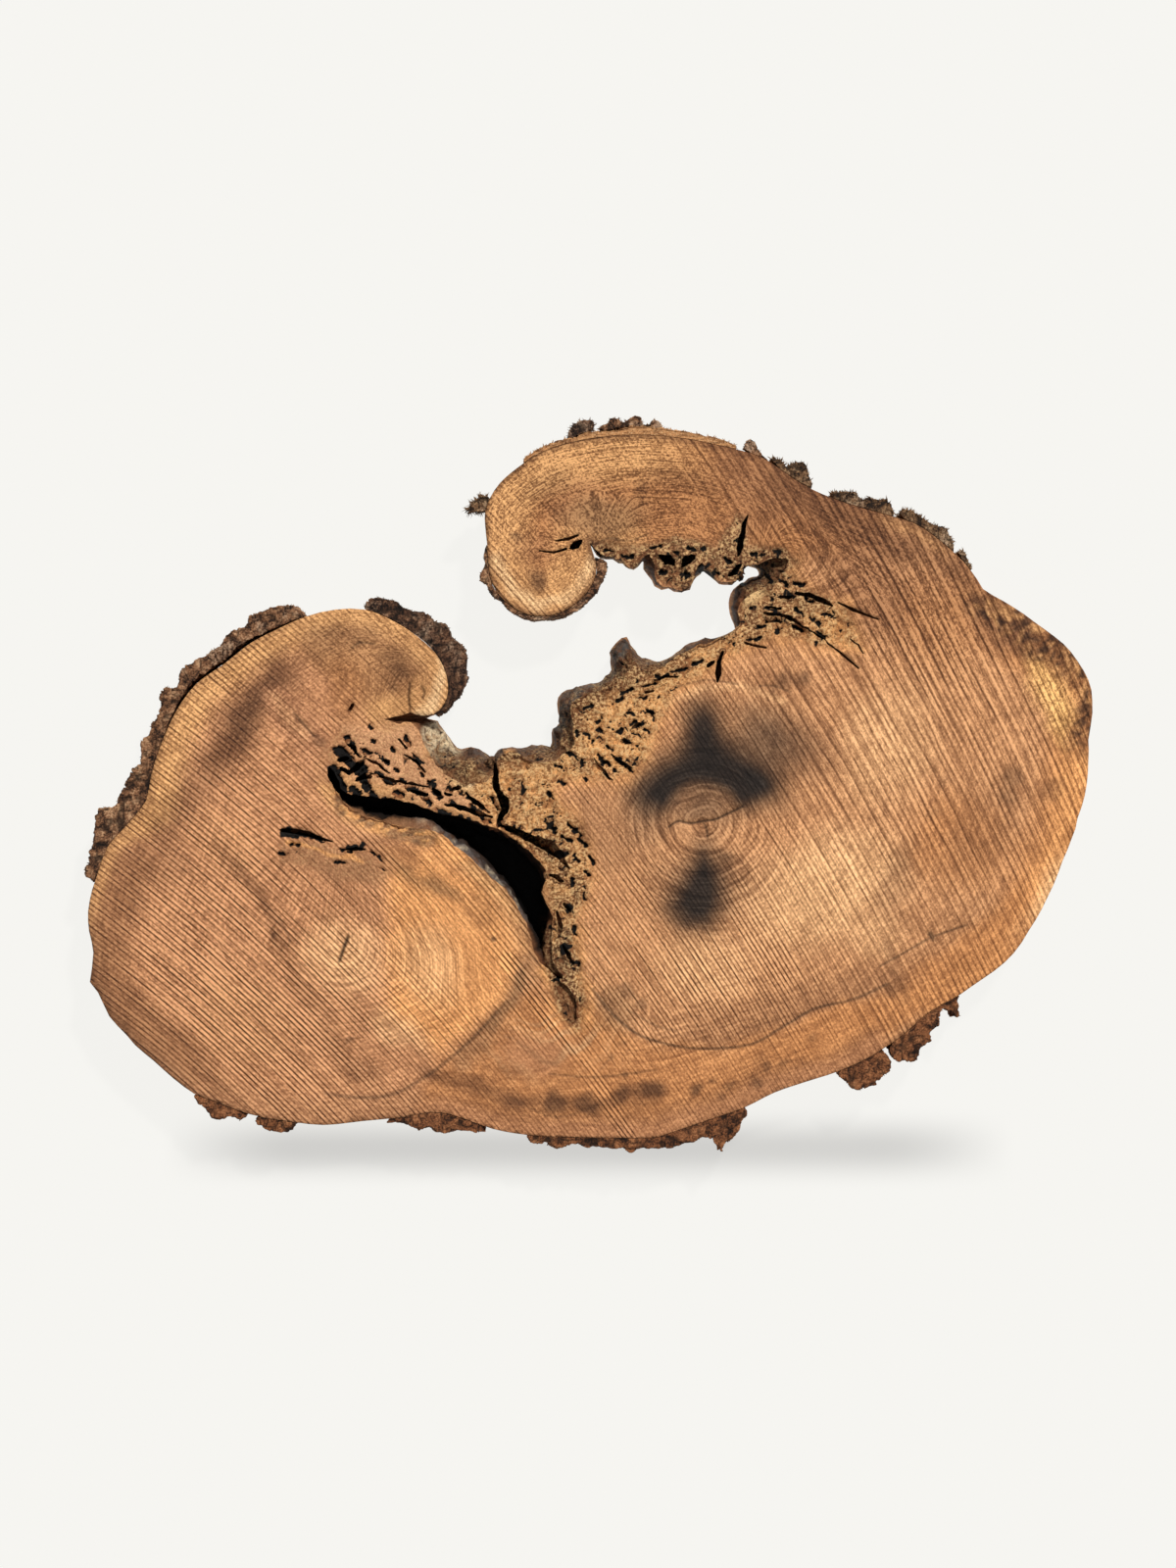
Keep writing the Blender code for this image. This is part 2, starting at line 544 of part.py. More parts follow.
def cut_wood(wood, cutters):
    cut = wood.modifiers.new("rot_and_cracks", "BOOLEAN")
    cut.operation = "DIFFERENCE"
    cut.operand_type = "COLLECTION"
    cut.collection = cutters
    cut.solver = "EXACT"


def nearest_index(ring, point):
    place = on_plan(point)
    return min(range(len(ring)), key=lambda index: (ring[index] - place).length)


def run_between(ring, first, last):
    """Indices from first to last, walking clockwise round the ring."""
    count = (last - first) % len(ring) + 1
    return [(first + step) % len(ring) for step in range(count)]


def lift_at(name, share):
    """How far a plate stands off the wood: the loose plate is open over its upper half."""
    if name != LOOSE_PLATE or share < LOOSE_FROM:
        return SEAT_GAP
    along = (share - LOOSE_FROM) / (1.0 - LOOSE_FROM)
    return SEAT_GAP + LOOSE_LIFT * math.sin(math.pi * along) ** LOOSE_ROUNDING


def seat_line(name, ring, run, closed=True):
    """The inner edge of a plate: the stretch it covers, moved out by its gap."""
    line = []
    for step, index in enumerate(run):
        gap = lift_at(name, step / max(len(run) - 1, 1))
        line.append(ring[index] + outward_normal(ring, index, closed) * gap)
    return line


def rough_outer_line(outer, inner, depth, seed):
    """The outer edge at one depth: ridges that stay clear of the inner edge."""
    line = []
    for index, place in enumerate(outer):
        thickness = min((place - other).length for other in inner)
        reach = min(BARK_ROUGHNESS, thickness * THINNEST_BARK_SHARE)
        share = index / (len(outer) - 1)
        reach *= min(1.0, share / BARK_END_SHARE, (1.0 - share) / BARK_END_SHARE)
        lean = BARK_LEAN * min(depth / BARK_LEAN_DEPTH, 1.0)
        push = reach * (lumps(place, depth, BARK_LUMP, BARK_GRAIN, seed) - lean)
        line.append(place + outward_normal(outer, index, False) * push)
    return line


def plate_levels(span):
    """Depths for a plate between two heights: the rim's own levels that fall inside it."""
    low, high = span
    top, bottom = SLICE_THICKNESS - high, SLICE_THICKNESS - low
    highest, lowest = top + LEVEL_CLEARANCE, bottom - LEVEL_CLEARANCE
    inside = [depth for depth in LEVEL_DEPTHS if highest < depth < lowest]
    return [top, *inside, bottom]


def rim_at(rings, depth):
    """The rim at any depth, between the two levels round it."""
    for index in range(len(LEVEL_DEPTHS) - 1):
        upper, lower = LEVEL_DEPTHS[index], LEVEL_DEPTHS[index + 1]
        if depth <= lower:
            share = (depth - upper) / (lower - upper)
            return [a.lerp(b, share) for a, b in zip(rings[index], rings[index + 1])]
    return rings[-1]


def add_plate(name, rings, ends, span, outer_points, material, collection, closed=True):
    """A plate seated on a rim. It returns its outer edge at each of the slice's levels."""
    first = nearest_index(rings[0], ends[0])
    last = nearest_index(rings[0], ends[1])
    run = run_between(rings[0], first, last)
    outer = smooth_line([on_plan(point) for point in outer_points], STEP_BARK)
    seed = sum(ord(letter) for letter in name) % 50
    body_rings, outer_lines, heights = [], [], []
    for depth in plate_levels(span):
        inner = seat_line(name, rim_at(rings, depth), run, closed)
        outer_line = rough_outer_line(outer, inner, depth, seed)
        body_rings.append([*outer_line, *reversed(inner)])
        outer_lines.append(outer_line)
        heights.append(SLICE_THICKNESS - depth)
    loft(name, body_rings, heights, material, collection)
    return outer_lines


def build():
    clear_scene()
    parts = new_collection("wood_slice")
    cutters = new_collection("cutters")
    wood_material = new_material("sawn_wood", WOOD_COLOUR, 0.72)
    bark_material = new_material("bark", BARK_COLOUR, 0.92)
    bast_material = new_material("bast", BAST_COLOUR, 0.85)

    rings = wood_rings()
    heights = [SLICE_THICKNESS - depth for depth in LEVEL_DEPTHS]
    wood = loft("wood", rings, heights, wood_material, parts)
    add_pocket_cutter(cutters)
    add_crack_cutters(cutters)
    hide_cutters(cutters)
    cut_wood(wood, cutters)

    for name, (start, end, outer) in BARK_PLATES.items():
        add_plate(name, rings, (start, end), FULL_HEIGHT, outer, bark_material, parts)
    for name, (start, end, span, outer) in TUFTS.items():
        material = bast_material if name.startswith("bast") else bark_material
        add_plate(name, rings, (start, end), span, outer, material, parts)
    for name, (start, end, outer) in BAST_PLATES.items():
        bast_rings = add_plate(name, rings, (start, end), FULL_HEIGHT, outer, bast_material, parts)
    for name, (start, end, outer) in BAST_FLAKES.items():
        add_plate(name, bast_rings, (start, end), FULL_HEIGHT, outer, bark_material, parts, False)


build()
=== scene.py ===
"""Looks of the wood slice: a sawn face with rings, stains and rot, torn walls, and rough bark.

Places on the face are given in pixels of the photograph, which looks straight down on it: x to
the right and y down. One pixel is UNIT metres on the upper face.
"""

import math

import bmesh
import bpy
import numpy as np
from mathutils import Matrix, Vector
from mathutils.bvhtree import BVHTree
from mathutils.geometry import delaunay_2d_cdt
from mathutils.kdtree import KDTree


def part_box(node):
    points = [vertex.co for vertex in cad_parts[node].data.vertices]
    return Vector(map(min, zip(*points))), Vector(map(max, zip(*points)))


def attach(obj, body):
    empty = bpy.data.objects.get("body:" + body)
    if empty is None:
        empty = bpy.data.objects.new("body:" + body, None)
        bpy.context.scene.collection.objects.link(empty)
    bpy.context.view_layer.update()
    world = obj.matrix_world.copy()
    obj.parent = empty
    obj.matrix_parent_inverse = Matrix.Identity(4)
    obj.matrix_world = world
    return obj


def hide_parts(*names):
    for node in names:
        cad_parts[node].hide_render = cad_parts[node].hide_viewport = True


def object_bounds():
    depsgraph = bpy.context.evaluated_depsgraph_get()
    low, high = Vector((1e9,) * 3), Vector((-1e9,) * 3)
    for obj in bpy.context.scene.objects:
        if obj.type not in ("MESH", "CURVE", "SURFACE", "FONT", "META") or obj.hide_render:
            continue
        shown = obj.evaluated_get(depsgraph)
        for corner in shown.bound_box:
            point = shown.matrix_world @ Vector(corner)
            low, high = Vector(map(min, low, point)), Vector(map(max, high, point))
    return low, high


# Where the photograph's pixels lie on the slice.
UNIT = 1.141 / 1031.0
THICKNESS = 0.1016
MIDDLE_X = 600.1
MIDDLE_Y = 800.3

# The camera: the pixel it looks at, its picture's height in pixels, its own height above the face
# in metres, and its sensor's width in millimetres.
PICTURE_CENTRE = (600.0, 800.0)
PICTURE_HEIGHT = 1600.0
CAMERA_HEIGHT = 8.0
SENSOR = 36.0

# The sun's strength, the direction it shines from, and the sky's strength and colour.
SUN_STRENGTH = 2.88
SUN_COLOUR = (1.0, 0.975, 0.94)
SUN_DIRECTION = (0.30, 0.55, 1.0)
SUN_WIDTH = math.radians(5)
SKY_STRENGTH = 0.27
SKY_COLOUR = (0.93, 0.96, 1.0, 1.0)

# Mesh sizes in pixels: across the saw marks, along them, and in the rot.
ACROSS = 2.7
ALONG = 5.7
FINE = 1.5

# Mesh sizes of the walls, in metres.
WALL_STEP = 0.0078
HOLLOW_STEP = 0.0050
EDGE_STEP = 0.0022
FLOOR_STEP = 0.03

# Edges of the wood that turn more than this look sharp.
SHARP_ANGLE = math.radians(52)

# Boxes in pixels that hold the hollow and the pocket: left, top, right and bottom.
HOLLOW_BOX = (275, 520, 900, 1060)
FINE_BOX = (265, 510, 900, 1065)

# The saw's path: its marks are the lines on which this polynomial in pixels is constant. Then the
# marks' spacing in pixels and depth in metres, and the rings from pith to rim and their spacing.
SAW_MIDDLE_X = 600.0
SAW_MIDDLE_Y = 800.0
SAW_SCALE = 500.0
SAW_X = 0.7212
SAW_Y = -0.5575
SAW_XX = 0.1082
SAW_XY = 0.1500
SAW_YY = -0.0383
SAW_TURN = math.radians(55.0)
COARSE_MARK = 12.4
MIDDLE_MARK = 5.7
FINE_MARK = 4.25
MARK_DEPTH = 0.00050
RINGS = 82.0
ROUND_RING_STEP = 4.6

# Depths in the rot and at its edges, in metres.
CRACK_DEPTH = 0.0035
HOLE_DEPTH = 0.0045
PIT_DEPTH = 0.0065
EDGE_DROP = 0.0016

# Colours as red, green and blue from 0 to 255.
HEART_RED = (190, 132, 90)
HEART_TAN = (194, 137, 92)
HEART_PALE = (228, 174, 122)
HEART_BROWN = (148, 99, 64)
HONEY = (222, 154, 94)
ARM_TAN = (164, 108, 65)
GOLD = (206, 150, 96)
SAP_ORANGE = (188, 125, 75)
SAP_PALE = (234, 192, 142)
SAP_GOLD = (232, 178, 108)
DUSK = (98, 60, 36)
UMBER = (70, 44, 28)
OLIVE = (112, 82, 54)
FADED = (146, 102, 68)
FLAME = (180, 124, 86)
STAIN = (32, 25, 21)
STAIN_FADE = (98, 72, 52)
PUNK_GOLD = (232, 165, 100)
PUNK_BROWN = (134, 84, 50)
PUNK_SHADE = (58, 34, 19)
RUST = (100, 58, 34)
SHELF_PINK = (206, 150, 108)
DARK_BROWN_AND_SHADE = (44, 34, 28)
ASH = (104, 96, 92)
BLACK = (12, 9, 7)
LEDGE_SHADE = (78, 62, 52)
TORN_PALE_AND_HIGHLIGHT = (250, 226, 186)
TORN_YELLOW_AND_HIGHLIGHT = (255, 210, 148)
RIM_BROWN = (140, 94, 60)
SHADED_WALL_GREY = (92, 88, 84)
BARK_CRUST = (206, 178, 150)
BARK_SLIT_SHADE = (18, 12, 9)
BAST_DARK = (118, 74, 42)
BAST_GOLD = (206, 150, 98)
BAST_PALE = (232, 190, 142)
BAST_SHADE = (84, 52, 32)
FLOOR_PALE = (246, 245, 241)
# The colour of the floor's painted shadow.
FLOOR_SHADE = (211, 210, 207)

# The painted soft shadow on the floor, in metres: its middle, and where it ends and is full each way.
FLOOR_SHADE_Y = -0.416
FLOOR_SHADE_DEEP = (0.054, 0.002)
FLOOR_SHADE_WIDE = (0.490, 0.33)

# The share of the floor's look that takes shadows, its half width, and its gap below the slice.
FLOOR_MATTE = 0.04
FLOOR_SIZE = 12.0
FLOOR_GAP = 0.0005

# The middles of the two stems and of the curls, joined by the lines that the rings close on.
RIGHT_PITH = (717, 838)
RIGHT_RINGS_MIDDLE = (717.0, 840.0)
STAIN_MIDDLE = (717.0, 842.0)
SKELETON = (
    ((350, 960), (350, 900), (345, 830), (352, 785), (385, 730), (415, 690)),
    (RIGHT_PITH, (722, 780), (745, 690), (765, 610), (745, 560), (700, 545), (650, 545), (600, 560),
     (548, 588)),
)


def place(px, py):
    """World x and y of a pixel."""
    return (px - MIDDLE_X) * UNIT, (MIDDLE_Y - py) * UNIT


def pixels(x, y):
    """Pixel of a world x and y."""
    return x / UNIT + MIDDLE_X, MIDDLE_Y - y / UNIT


def linear(colour):
    """A 0 to 255 colour as linear light."""
    share = np.asarray(colour, float) / 255.0
    return np.where(share <= 0.04045, share / 12.92, ((share + 0.055) / 1.055) ** 2.4)


def smooth(low, high, value):
    """0 below low, 1 above high, and smooth between."""
    share = np.clip((value - low) / (high - low), 0.0, 1.0)
    return share * share * (3.0 - 2.0 * share)


# Noise


def cell_value(ix, iy, iz, seed):
    mixed = (ix * 73856093) ^ (iy * 19349663) ^ (iz * 83492791) ^ (seed * 2971215073)
    mixed = (mixed ^ (mixed >> 13)) & 0xFFFFFFFF
    mixed = (mixed * 1274126177) & 0xFFFFFFFF
    mixed = mixed ^ (mixed >> 16)
    return (mixed & 0xFFFF) / 32767.5 - 1.0


def value_noise(x, y, z, seed):
    """Smooth noise from -1 to 1 with lumps of size 1."""
    x, y, z = np.broadcast_arrays(x, y, z)
    ix, iy, iz = (np.floor(v).astype(np.int64) for v in (x, y, z))
    fx, fy, fz = x - ix, y - iy, z - iz
    fx, fy, fz = (f * f * f * (f * (f * 6 - 15) + 10) for f in (fx, fy, fz))
    total = 0.0
    for dx in (0, 1):
        wx = fx if dx else 1 - fx
        for dy in (0, 1):
            wy = fy if dy else 1 - fy
            for dz in (0, 1):
                wz = fz if dz else 1 - fz
                total = total + wx * wy * wz * cell_value(ix + dx, iy + dy, iz + dz, seed)
    return total


def layered_noise(x, y, z, seed, layers=3):
    """Noise with finer and weaker layers on top, from about -1 to 1."""
    total, strength, size = 0.0, 1.0, 1.0
    for layer in range(layers):
        total = total + strength * value_noise(x * size, y * size, z * size, seed + 17 * layer)
        strength *= 0.5
        size *= 2.03
    return total / 1.5


def along_line(points, step):
    """Points every step along a line through the given points."""
    result = []
    for (x0, y0), (x1, y1) in zip(points, points[1:]):
        count = max(1, round(math.hypot(x1 - x0, y1 - y0) / step))
        for index in range(count):
            share = index / count
            result.append((x0 + (x1 - x0) * share, y0 + (y1 - y0) * share))
    result.append(tuple(points[-1][:2]))
    return np.array(result)


def curve(points, cuts=6):
    """A smooth line through the given points."""
    full = np.array([p[:2] for p in points], float)
    if len(full) < 3:
        return full
    full = np.concatenate([[2 * full[0] - full[1]], full, [2 * full[-1] - full[-2]]])
    result = []
    for a, b, c, d in zip(full, full[1:], full[2:], full[3:]):
        for step in range(cuts):
            t = step / cuts
            result.append(0.5 * (2 * b + (c - a) * t + (2 * a - 5 * b + 4 * c - d) * t**2
                                 + (3 * b - a - 3 * c + d) * t**3))
    result.append(full[-2])
    return np.array(result)


def distance_to_line(px, py, points):
    """Distance to a line of points, and how far along it the nearest place is, from 0 to 1."""
    best = np.full(px.shape, 1e9)
    share_along = np.zeros(px.shape)
    count = len(points) - 1
    for index in range(count):
        x0, y0 = points[index][:2]
        x1, y1 = points[index + 1][:2]
        dx, dy = x1 - x0, y1 - y0
        share = np.clip(((px - x0) * dx + (py - y0) * dy) / (dx * dx + dy * dy + 1e-9), 0, 1)
        distance = np.hypot(px - x0 - share * dx, py - y0 - share * dy)
        nearer = distance < best
        best = np.where(nearer, distance, best)
        share_along = np.where(nearer, (index + share) / count, share_along)
    return best, share_along


def inside_polygon(px, py, points):
    inside = np.zeros(px.shape, bool)
    count = len(points)
    for index in range(count):
        x0, y0 = points[index - 1][:2]
        x1, y1 = points[index][:2]
        crosses = (y0 > py) != (y1 > py)
        with np.errstate(divide="ignore", invalid="ignore"):
            at = (x1 - x0) * (py - y0) / (y1 - y0) + x0
        inside ^= crosses & (px < at)
    return inside


def in_box(px, py, box):
    left, top, right, bottom = box
    return (px > left) & (px < right) & (py > top) & (py < bottom)


def inside_outlines(px, py, outlines):
    """True inside an outline and outside the holes in it."""
    inside = np.zeros(len(px), bool)
    for outline in outlines:
        inside ^= inside_polygon(px, py, outline)
    return inside


def area(px, py, points, soft):
    """1 well inside a polygon and 0 well outside, fading over soft pixels across its edge."""
    distance, _ = distance_to_line(px, py, [*points, points[0]])
    signed = np.where(inside_polygon(px, py, points), distance, -distance)
    return smooth(-soft, soft, signed)


def blob(px, py, cx, cy, rx, ry, turn=0.0, soft=0.7):
    """1 in the middle of an ellipse, fading to 0 at its rim. turn is clockwise in degrees."""
    angle = math.radians(turn)
    dx, dy = px - cx, py - cy
    u = (dx * math.cos(angle) + dy * math.sin(angle)) / rx
    v = (-dx * math.sin(angle) + dy * math.cos(angle)) / ry
    return 1.0 - smooth(1.0 - soft, 1.0, np.hypot(u, v))


def band(px, py, points, width, soft=0.7):
    """1 on a line and 0 beyond its half width."""
    distance, _ = distance_to_line(px, py, points)
    return 1.0 - smooth((1.0 - soft) * width, width, distance)


def saw_place(px, py):
    """Distance across the saw marks and along them, in pixels."""
    x = (px - SAW_MIDDLE_X) / SAW_SCALE
    y = (py - SAW_MIDDLE_Y) / SAW_SCALE
    across = SAW_X * x + SAW_Y * y + SAW_XX * x * x + SAW_XY * x * y + SAW_YY * y * y
    along = x * math.cos(SAW_TURN) + y * math.sin(SAW_TURN)
    return across * SAW_SCALE, along * SAW_SCALE


def coarse_side(px, py):
    """0 on the left stem and 1 on the right one, where the saw marks are coarser."""
    return smooth(720, 860, px + 0.35 * (800 - py))


def saw_wander(px, py, across, along):
    """How far the saw marks stray sideways, in pixels."""
    coarse = coarse_side(px, py)
    slow = 1.1 * value_noise(across / 46, along / 120, 0.0, 41)
    quick = 0.9 * value_noise(across / 14, along / 46, 2.0, 45)
    return slow + quick * (0.35 + 0.9 * coarse)


def saw_point(across, along):
    """The pixel at these distances across and along the saw marks."""
    x = across * math.sin(SAW_TURN) + along * math.cos(SAW_TURN) + SAW_MIDDLE_X
    y = -across * math.cos(SAW_TURN) + along * math.sin(SAW_TURN) + SAW_MIDDLE_Y
    for _ in range(12):
        found_across, found_along = saw_place(x, y)
        step_across, step_along = across - found_across, along - found_along
        x = x + step_across * math.sin(SAW_TURN) + step_along * math.cos(SAW_TURN)
        y = y - step_across * math.cos(SAW_TURN) + step_along * math.sin(SAW_TURN)
    return x, y


# What the face shows

# Outlines of the soft, rotten wood round the hollow and along the pocket's right side, of the shelf
# on its left, and of torn and pitted places; the shore is the hollow's lower edge.
ROT_AREA = (
    (436, 742), (452, 742), (478, 770), (520, 762), (562, 756), (572, 705), (615, 676), (622, 655),
    (652, 655), (668, 672), (715, 650), (750, 632), (764, 590), (800, 578), (822, 600), (862, 618),
    (880, 660), (835, 660), (790, 648), (745, 668), (715, 690), (690, 704), (672, 738), (660, 772),
    (642, 792), (612, 796), (582, 796), (562, 806), (572, 822), (594, 842), (602, 862), (604, 905),
    (588, 940), (592, 985), (600, 1030), (590, 1052),
    (574, 1042), (560, 1000), (552, 960), (562, 920), (548, 880), (520, 850), (505, 830),
    (470, 800), (440, 770),
)
SHELF_AREA = (
    (330, 762), (350, 740), (375, 745), (402, 738), (440, 752), (468, 790), (506, 815), (512, 840),
    (470, 838), (420, 822), (372, 815), (345, 800),
)
PITTED_AREA = (
    (326, 748), (346, 730), (392, 730), (446, 742), (482, 786), (520, 815), (520, 850), (440, 846),
    (372, 832), (338, 812),
)
TORN_STRIP = (
    (336, 800), (346, 808), (366, 826), (398, 836), (436, 848), (448, 862), (432, 864), (402, 856),
    (366, 842), (344, 826),
)
ARM_ROT_AREA = (
    (600, 552), (640, 556), (665, 556), (690, 548), (712, 552), (730, 560), (752, 525), (760, 528),
    (764, 556), (800, 560), (815, 575), (760, 600), (740, 592), (716, 590), (700, 606), (660, 585),
    (640, 578), (612, 572),
)
SHORE = ((500, 768), (560, 760), (578, 742), (582, 715), (620, 694), (650, 684))
ROTTEN_TIP = ((560, 985), (578, 990), (594, 1015), (592, 1050), (578, 1046), (566, 1020))
TORN_UNDER_CRACK = ((282, 860), (330, 858), (380, 872), (402, 892), (380, 905), (330, 892), (284, 880))

# Fine dark lines: their points, half width, depth in metres and how dark they are.
LINES = (
    (((332, 1116), (366, 1120), (400, 1117), (432, 1100), (458, 1081), (482, 1060), (502, 1038),
      (517, 1022)), 1.5, 0.0004, 0.45),
    (((604, 1008), (619, 1028), (634, 1043), (652, 1056), (675, 1064), (700, 1069), (730, 1070),
      (768, 1065), (800, 1047), (832, 1029), (870, 1020), (906, 1004)), 1.1, 0.0004, 0.60),
    (((355, 956), (351, 967), (346, 982)), 1.3, 0.003, 0.85),
    (((682, 844), (692, 838), (704, 840), (717, 838), (730, 836), (741, 831), (758, 823)), 0.9,
     0.002, 0.75),
    (((717, 838), (721, 846), (722, 856)), 0.8, 0.0015, 0.6),
    (((418, 698), (417, 712), (419, 728)), 0.9, 0.003, 0.7),
    (((430, 700), (433, 706), (431, 713)), 1.0, 0.002, 0.6),
    (((360, 660), (368, 656), (382, 657)), 0.9, 0.001, 0.5),
    (((300, 728), (309, 738), (320, 751)), 0.9, 0.001, 0.55),
    (((285, 940), (291, 948), (296, 961)), 1.0, 0.0006, 0.35),
    (((898, 986), (930, 968), (952, 956), (986, 944)), 0.9, 0.0006, 0.55),
    (((948, 951), (953, 959)), 2.4, 0.0015, 0.7),
    (((560, 1096), (612, 1099), (668, 1092)), 1.0, 0.0004, 0.35),
    (((640, 1030), (668, 1046), (690, 1052)), 0.9, 0.0004, 0.35),
    (((520, 1120), (566, 1140), (610, 1128)), 1.2, 0.0004, 0.25),
    (((606, 556), (622, 549), (640, 552), (660, 546)), 0.8, 0.0006, 0.45),
    (((775, 700), (790, 700), (806, 706)), 0.8, 0.0008, 0.4),
    (((693, 700), (722, 694), (752, 698)), 0.8, 0.0006, 0.4),
    (((650, 715), (662, 704), (680, 698)), 0.8, 0.0006, 0.4),
)

# Small dark spots: middle, radius and strength.
SPOTS = (
    (712, 1110, 9, 0.75), (727, 1103, 5, 0.6), (745, 1112, 6, 0.55), (737, 1124, 6, 0.4),
    (772, 1105, 8, 0.5), (785, 1086, 6, 0.5), (800, 1083, 5, 0.4), (830, 1062, 6, 0.35),
    (566, 1128, 15, 0.65), (600, 1130, 14, 0.6), (636, 1118, 12, 0.5), (668, 1112, 12, 0.65),
    (640, 1098, 6, 0.5), (622, 1080, 5, 0.5), (632, 1064, 4, 0.5), (527, 551, 6, 0.6),
    (628, 547, 7, 0.35), (652, 500, 8, 0.35), (545, 592, 10, 0.45), (283, 955, 5, 0.6),
    (355, 1064, 5, 0.5), (500, 963, 4, 0.8), (322, 755, 8, 0.45), (345, 828, 7, 0.5),
    (405, 686, 12, 0.35), (690, 820, 4, 0.4), (870, 640, 5, 0.3), (815, 745, 5, 0.3),
    (1034, 790, 14, 0.45), (1030, 812, 12, 0.4), (1074, 806, 14, 0.35), (950, 830, 7, 0.25),
    (1040, 640, 10, 0.4), (965, 800, 8, 0.2), (823, 690, 7, 0.6), (803, 694, 10, 0.35),
    (792, 700, 5, 0.5), (868, 672, 6, 0.4), (910, 1008, 9, 0.3), (640, 1010, 9, 0.5),
    (652, 1022, 7, 0.5), (308, 672, 9, 0.2), (322, 640, 7, 0.2), (345, 640, 8, 0.15),
    (365, 652, 6, 0.3), (292, 662, 7, 0.2), (398, 704, 6, 0.4),
)


class Canvas:
    """Points in pixels with their colours in linear light, which are painted over one another."""

    def __init__(self, x, y, tone):
        self.x = x
        self.y = y
        self.tone = tone

    def paint(self, colour, mask):
        share = np.clip(mask, 0.0, 1.0)[:, None]
        self.tone[:] = self.tone * (1.0 - share) + linear(colour) * share

    def spots(self, *rows):
        for colour, strength, *ellipse in rows:
            self.paint(colour, strength * blob(self.x, self.y, *ellipse))

    def stroke(self, colour, strength, *line):
        self.paint(colour, strength * band(self.x, self.y, *line))

    def fill(self, colour, strength, points, soft):
        self.paint(colour, strength * area(self.x, self.y, points, soft))


def plain_tone(count, colour):
    """One colour for all points."""
    tone = np.empty((count, 3))
    tone[:] = linear(colour)
    return tone


def tone_of_face(px, py, rim):
    """The face's colour in linear light, before saw marks and grain."""
    tone = plain_tone(len(px), HEART_TAN)
    plain = Canvas(px, py, tone)
    warped = Canvas(px + 7.0 * layered_noise(px / 26, py / 26, 0.0, 3),
                    py + 7.0 * layered_noise(px / 26, py / 26, 4.0, 5), tone)
    drift = layered_noise(px / 60, py / 60, 0.0, 11)

    def near_rim(full, none, stray=0.0):
        return 1.0 - smooth(full, none, rim + stray * drift)

    paint_left_stem(warped, near_rim)
    paint_left_curl(warped, near_rim, drift)
    paint_arm(warped, near_rim, drift)
    paint_right_stem(warped, near_rim)
    paint_foot(warped, near_rim, drift)
    paint_stains(plain, warped)
    paint_rot(plain)
    warped.spots(*((UMBER, strength, cx, cy, radius * 1.25, radius * 1.25)
                   for cx, cy, radius, strength in SPOTS))
    return tone


def paint_left_stem(canvas, near_rim):
    x, y = canvas.x, canvas.y
    canvas.fill(HEART_RED, 0.95, ((60, 640), (330, 640), (350, 760), (440, 870), (540, 980),
                (520, 1090), (430, 1180), (60, 1180)), 14)
    canvas.spots((HEART_TAN, 0.65, 250, 1040, 80, 60, 40), (HEART_TAN, 0.6, 230, 860, 60, 36, 40))
    canvas.fill(HONEY, 0.9, ((392, 870), (440, 862), (505, 905), (540, 985), (520, 1030),
                (450, 1075), (400, 1030), (398, 940)), 16)
    canvas.spots((HEART_PALE, 0.55, 440, 985, 44, 60, -20),
                 (HEART_PALE, 0.62, 352, 975, 64, 56, 20, 0.9),
                 (HEART_PALE, 0.5, 410, 1050, 46, 22, 35))
    canvas.paint(GOLD, near_rim(14, 46, 8) * area(x, y, (
        (120, 860), (130, 700), (300, 610), (345, 640), (300, 700), (225, 745), (180, 840)), 12))
    canvas.paint(GOLD, 0.85 * near_rim(8, 20) * smooth(1030, 900, y))
    canvas.stroke(DUSK, 0.80, ((286, 690), (252, 728), (228, 768)), 36, 0.95)
    canvas.stroke(UMBER, 0.40, ((280, 700), (252, 728), (240, 748)), 20, 0.9)
    canvas.stroke(DUSK, 0.42, ((228, 768), (204, 796), (172, 838)), 28, 0.9)
    canvas.spots((DUSK, 0.45, 132, 902, 26, 64, 8), (DUSK, 0.28, 165, 880, 40, 46))
    border = smooth(900, 980, y) * (0.45 + 0.55 * smooth(220, 150, x))
    canvas.paint(FADED, 0.75 * near_rim(16, 40, 8) * border)
    canvas.paint(DUSK, 0.45 * near_rim(6, 24) * smooth(940, 1020, y) * smooth(240, 150, x))
    ring_in = (1.0 - near_rim(5, 14, 5)) * near_rim(34, 54, 8)
    canvas.paint(HEART_BROWN, 0.78 * ring_in * smooth(250, 190, x) * smooth(850, 890, y))
    canvas.paint(DUSK, 0.4 * near_rim(2, 8))
    canvas.fill(FLAME, 0.75, ((270, 703), (288, 700), (330, 742), (345, 800), (318, 800),
                (300, 765), (280, 738)), 7)
    canvas.fill(HEART_PALE, 0.25, ((276, 708), (286, 708), (316, 745), (306, 760)), 5)
    canvas.stroke(HEART_BROWN, 0.5, ((228, 872), (275, 930), (300, 1000), (330, 1032), (362, 1102)),
                  15, 0.9)
    canvas.stroke(DUSK, 0.32, ((240, 886), (275, 930), (293, 968)), 9, 0.9)
    canvas.spots((HEART_BROWN, 0.5, 400, 870, 46, 22, 18), (OLIVE, 0.45, 425, 893, 48, 12, 26),
                 (OLIVE, 0.40, 452, 905, 34, 10, 38), (HONEY, 0.85, 462, 868, 30, 16, 20),
                 (HONEY, 0.75, 430, 888, 16, 8, 20), (DUSK, 0.28, 492, 930, 26, 34, -20),
                 (HEART_BROWN, 0.35, 365, 1040, 16, 44, -20), (DUSK, 0.30, 374, 1094, 30, 20, 0))
    canvas.fill(FADED, 0.55, TORN_UNDER_CRACK, 7)
    canvas.stroke(PUNK_GOLD, 0.7, ((290, 861), (330, 866), (372, 878)), 4, 0.9)


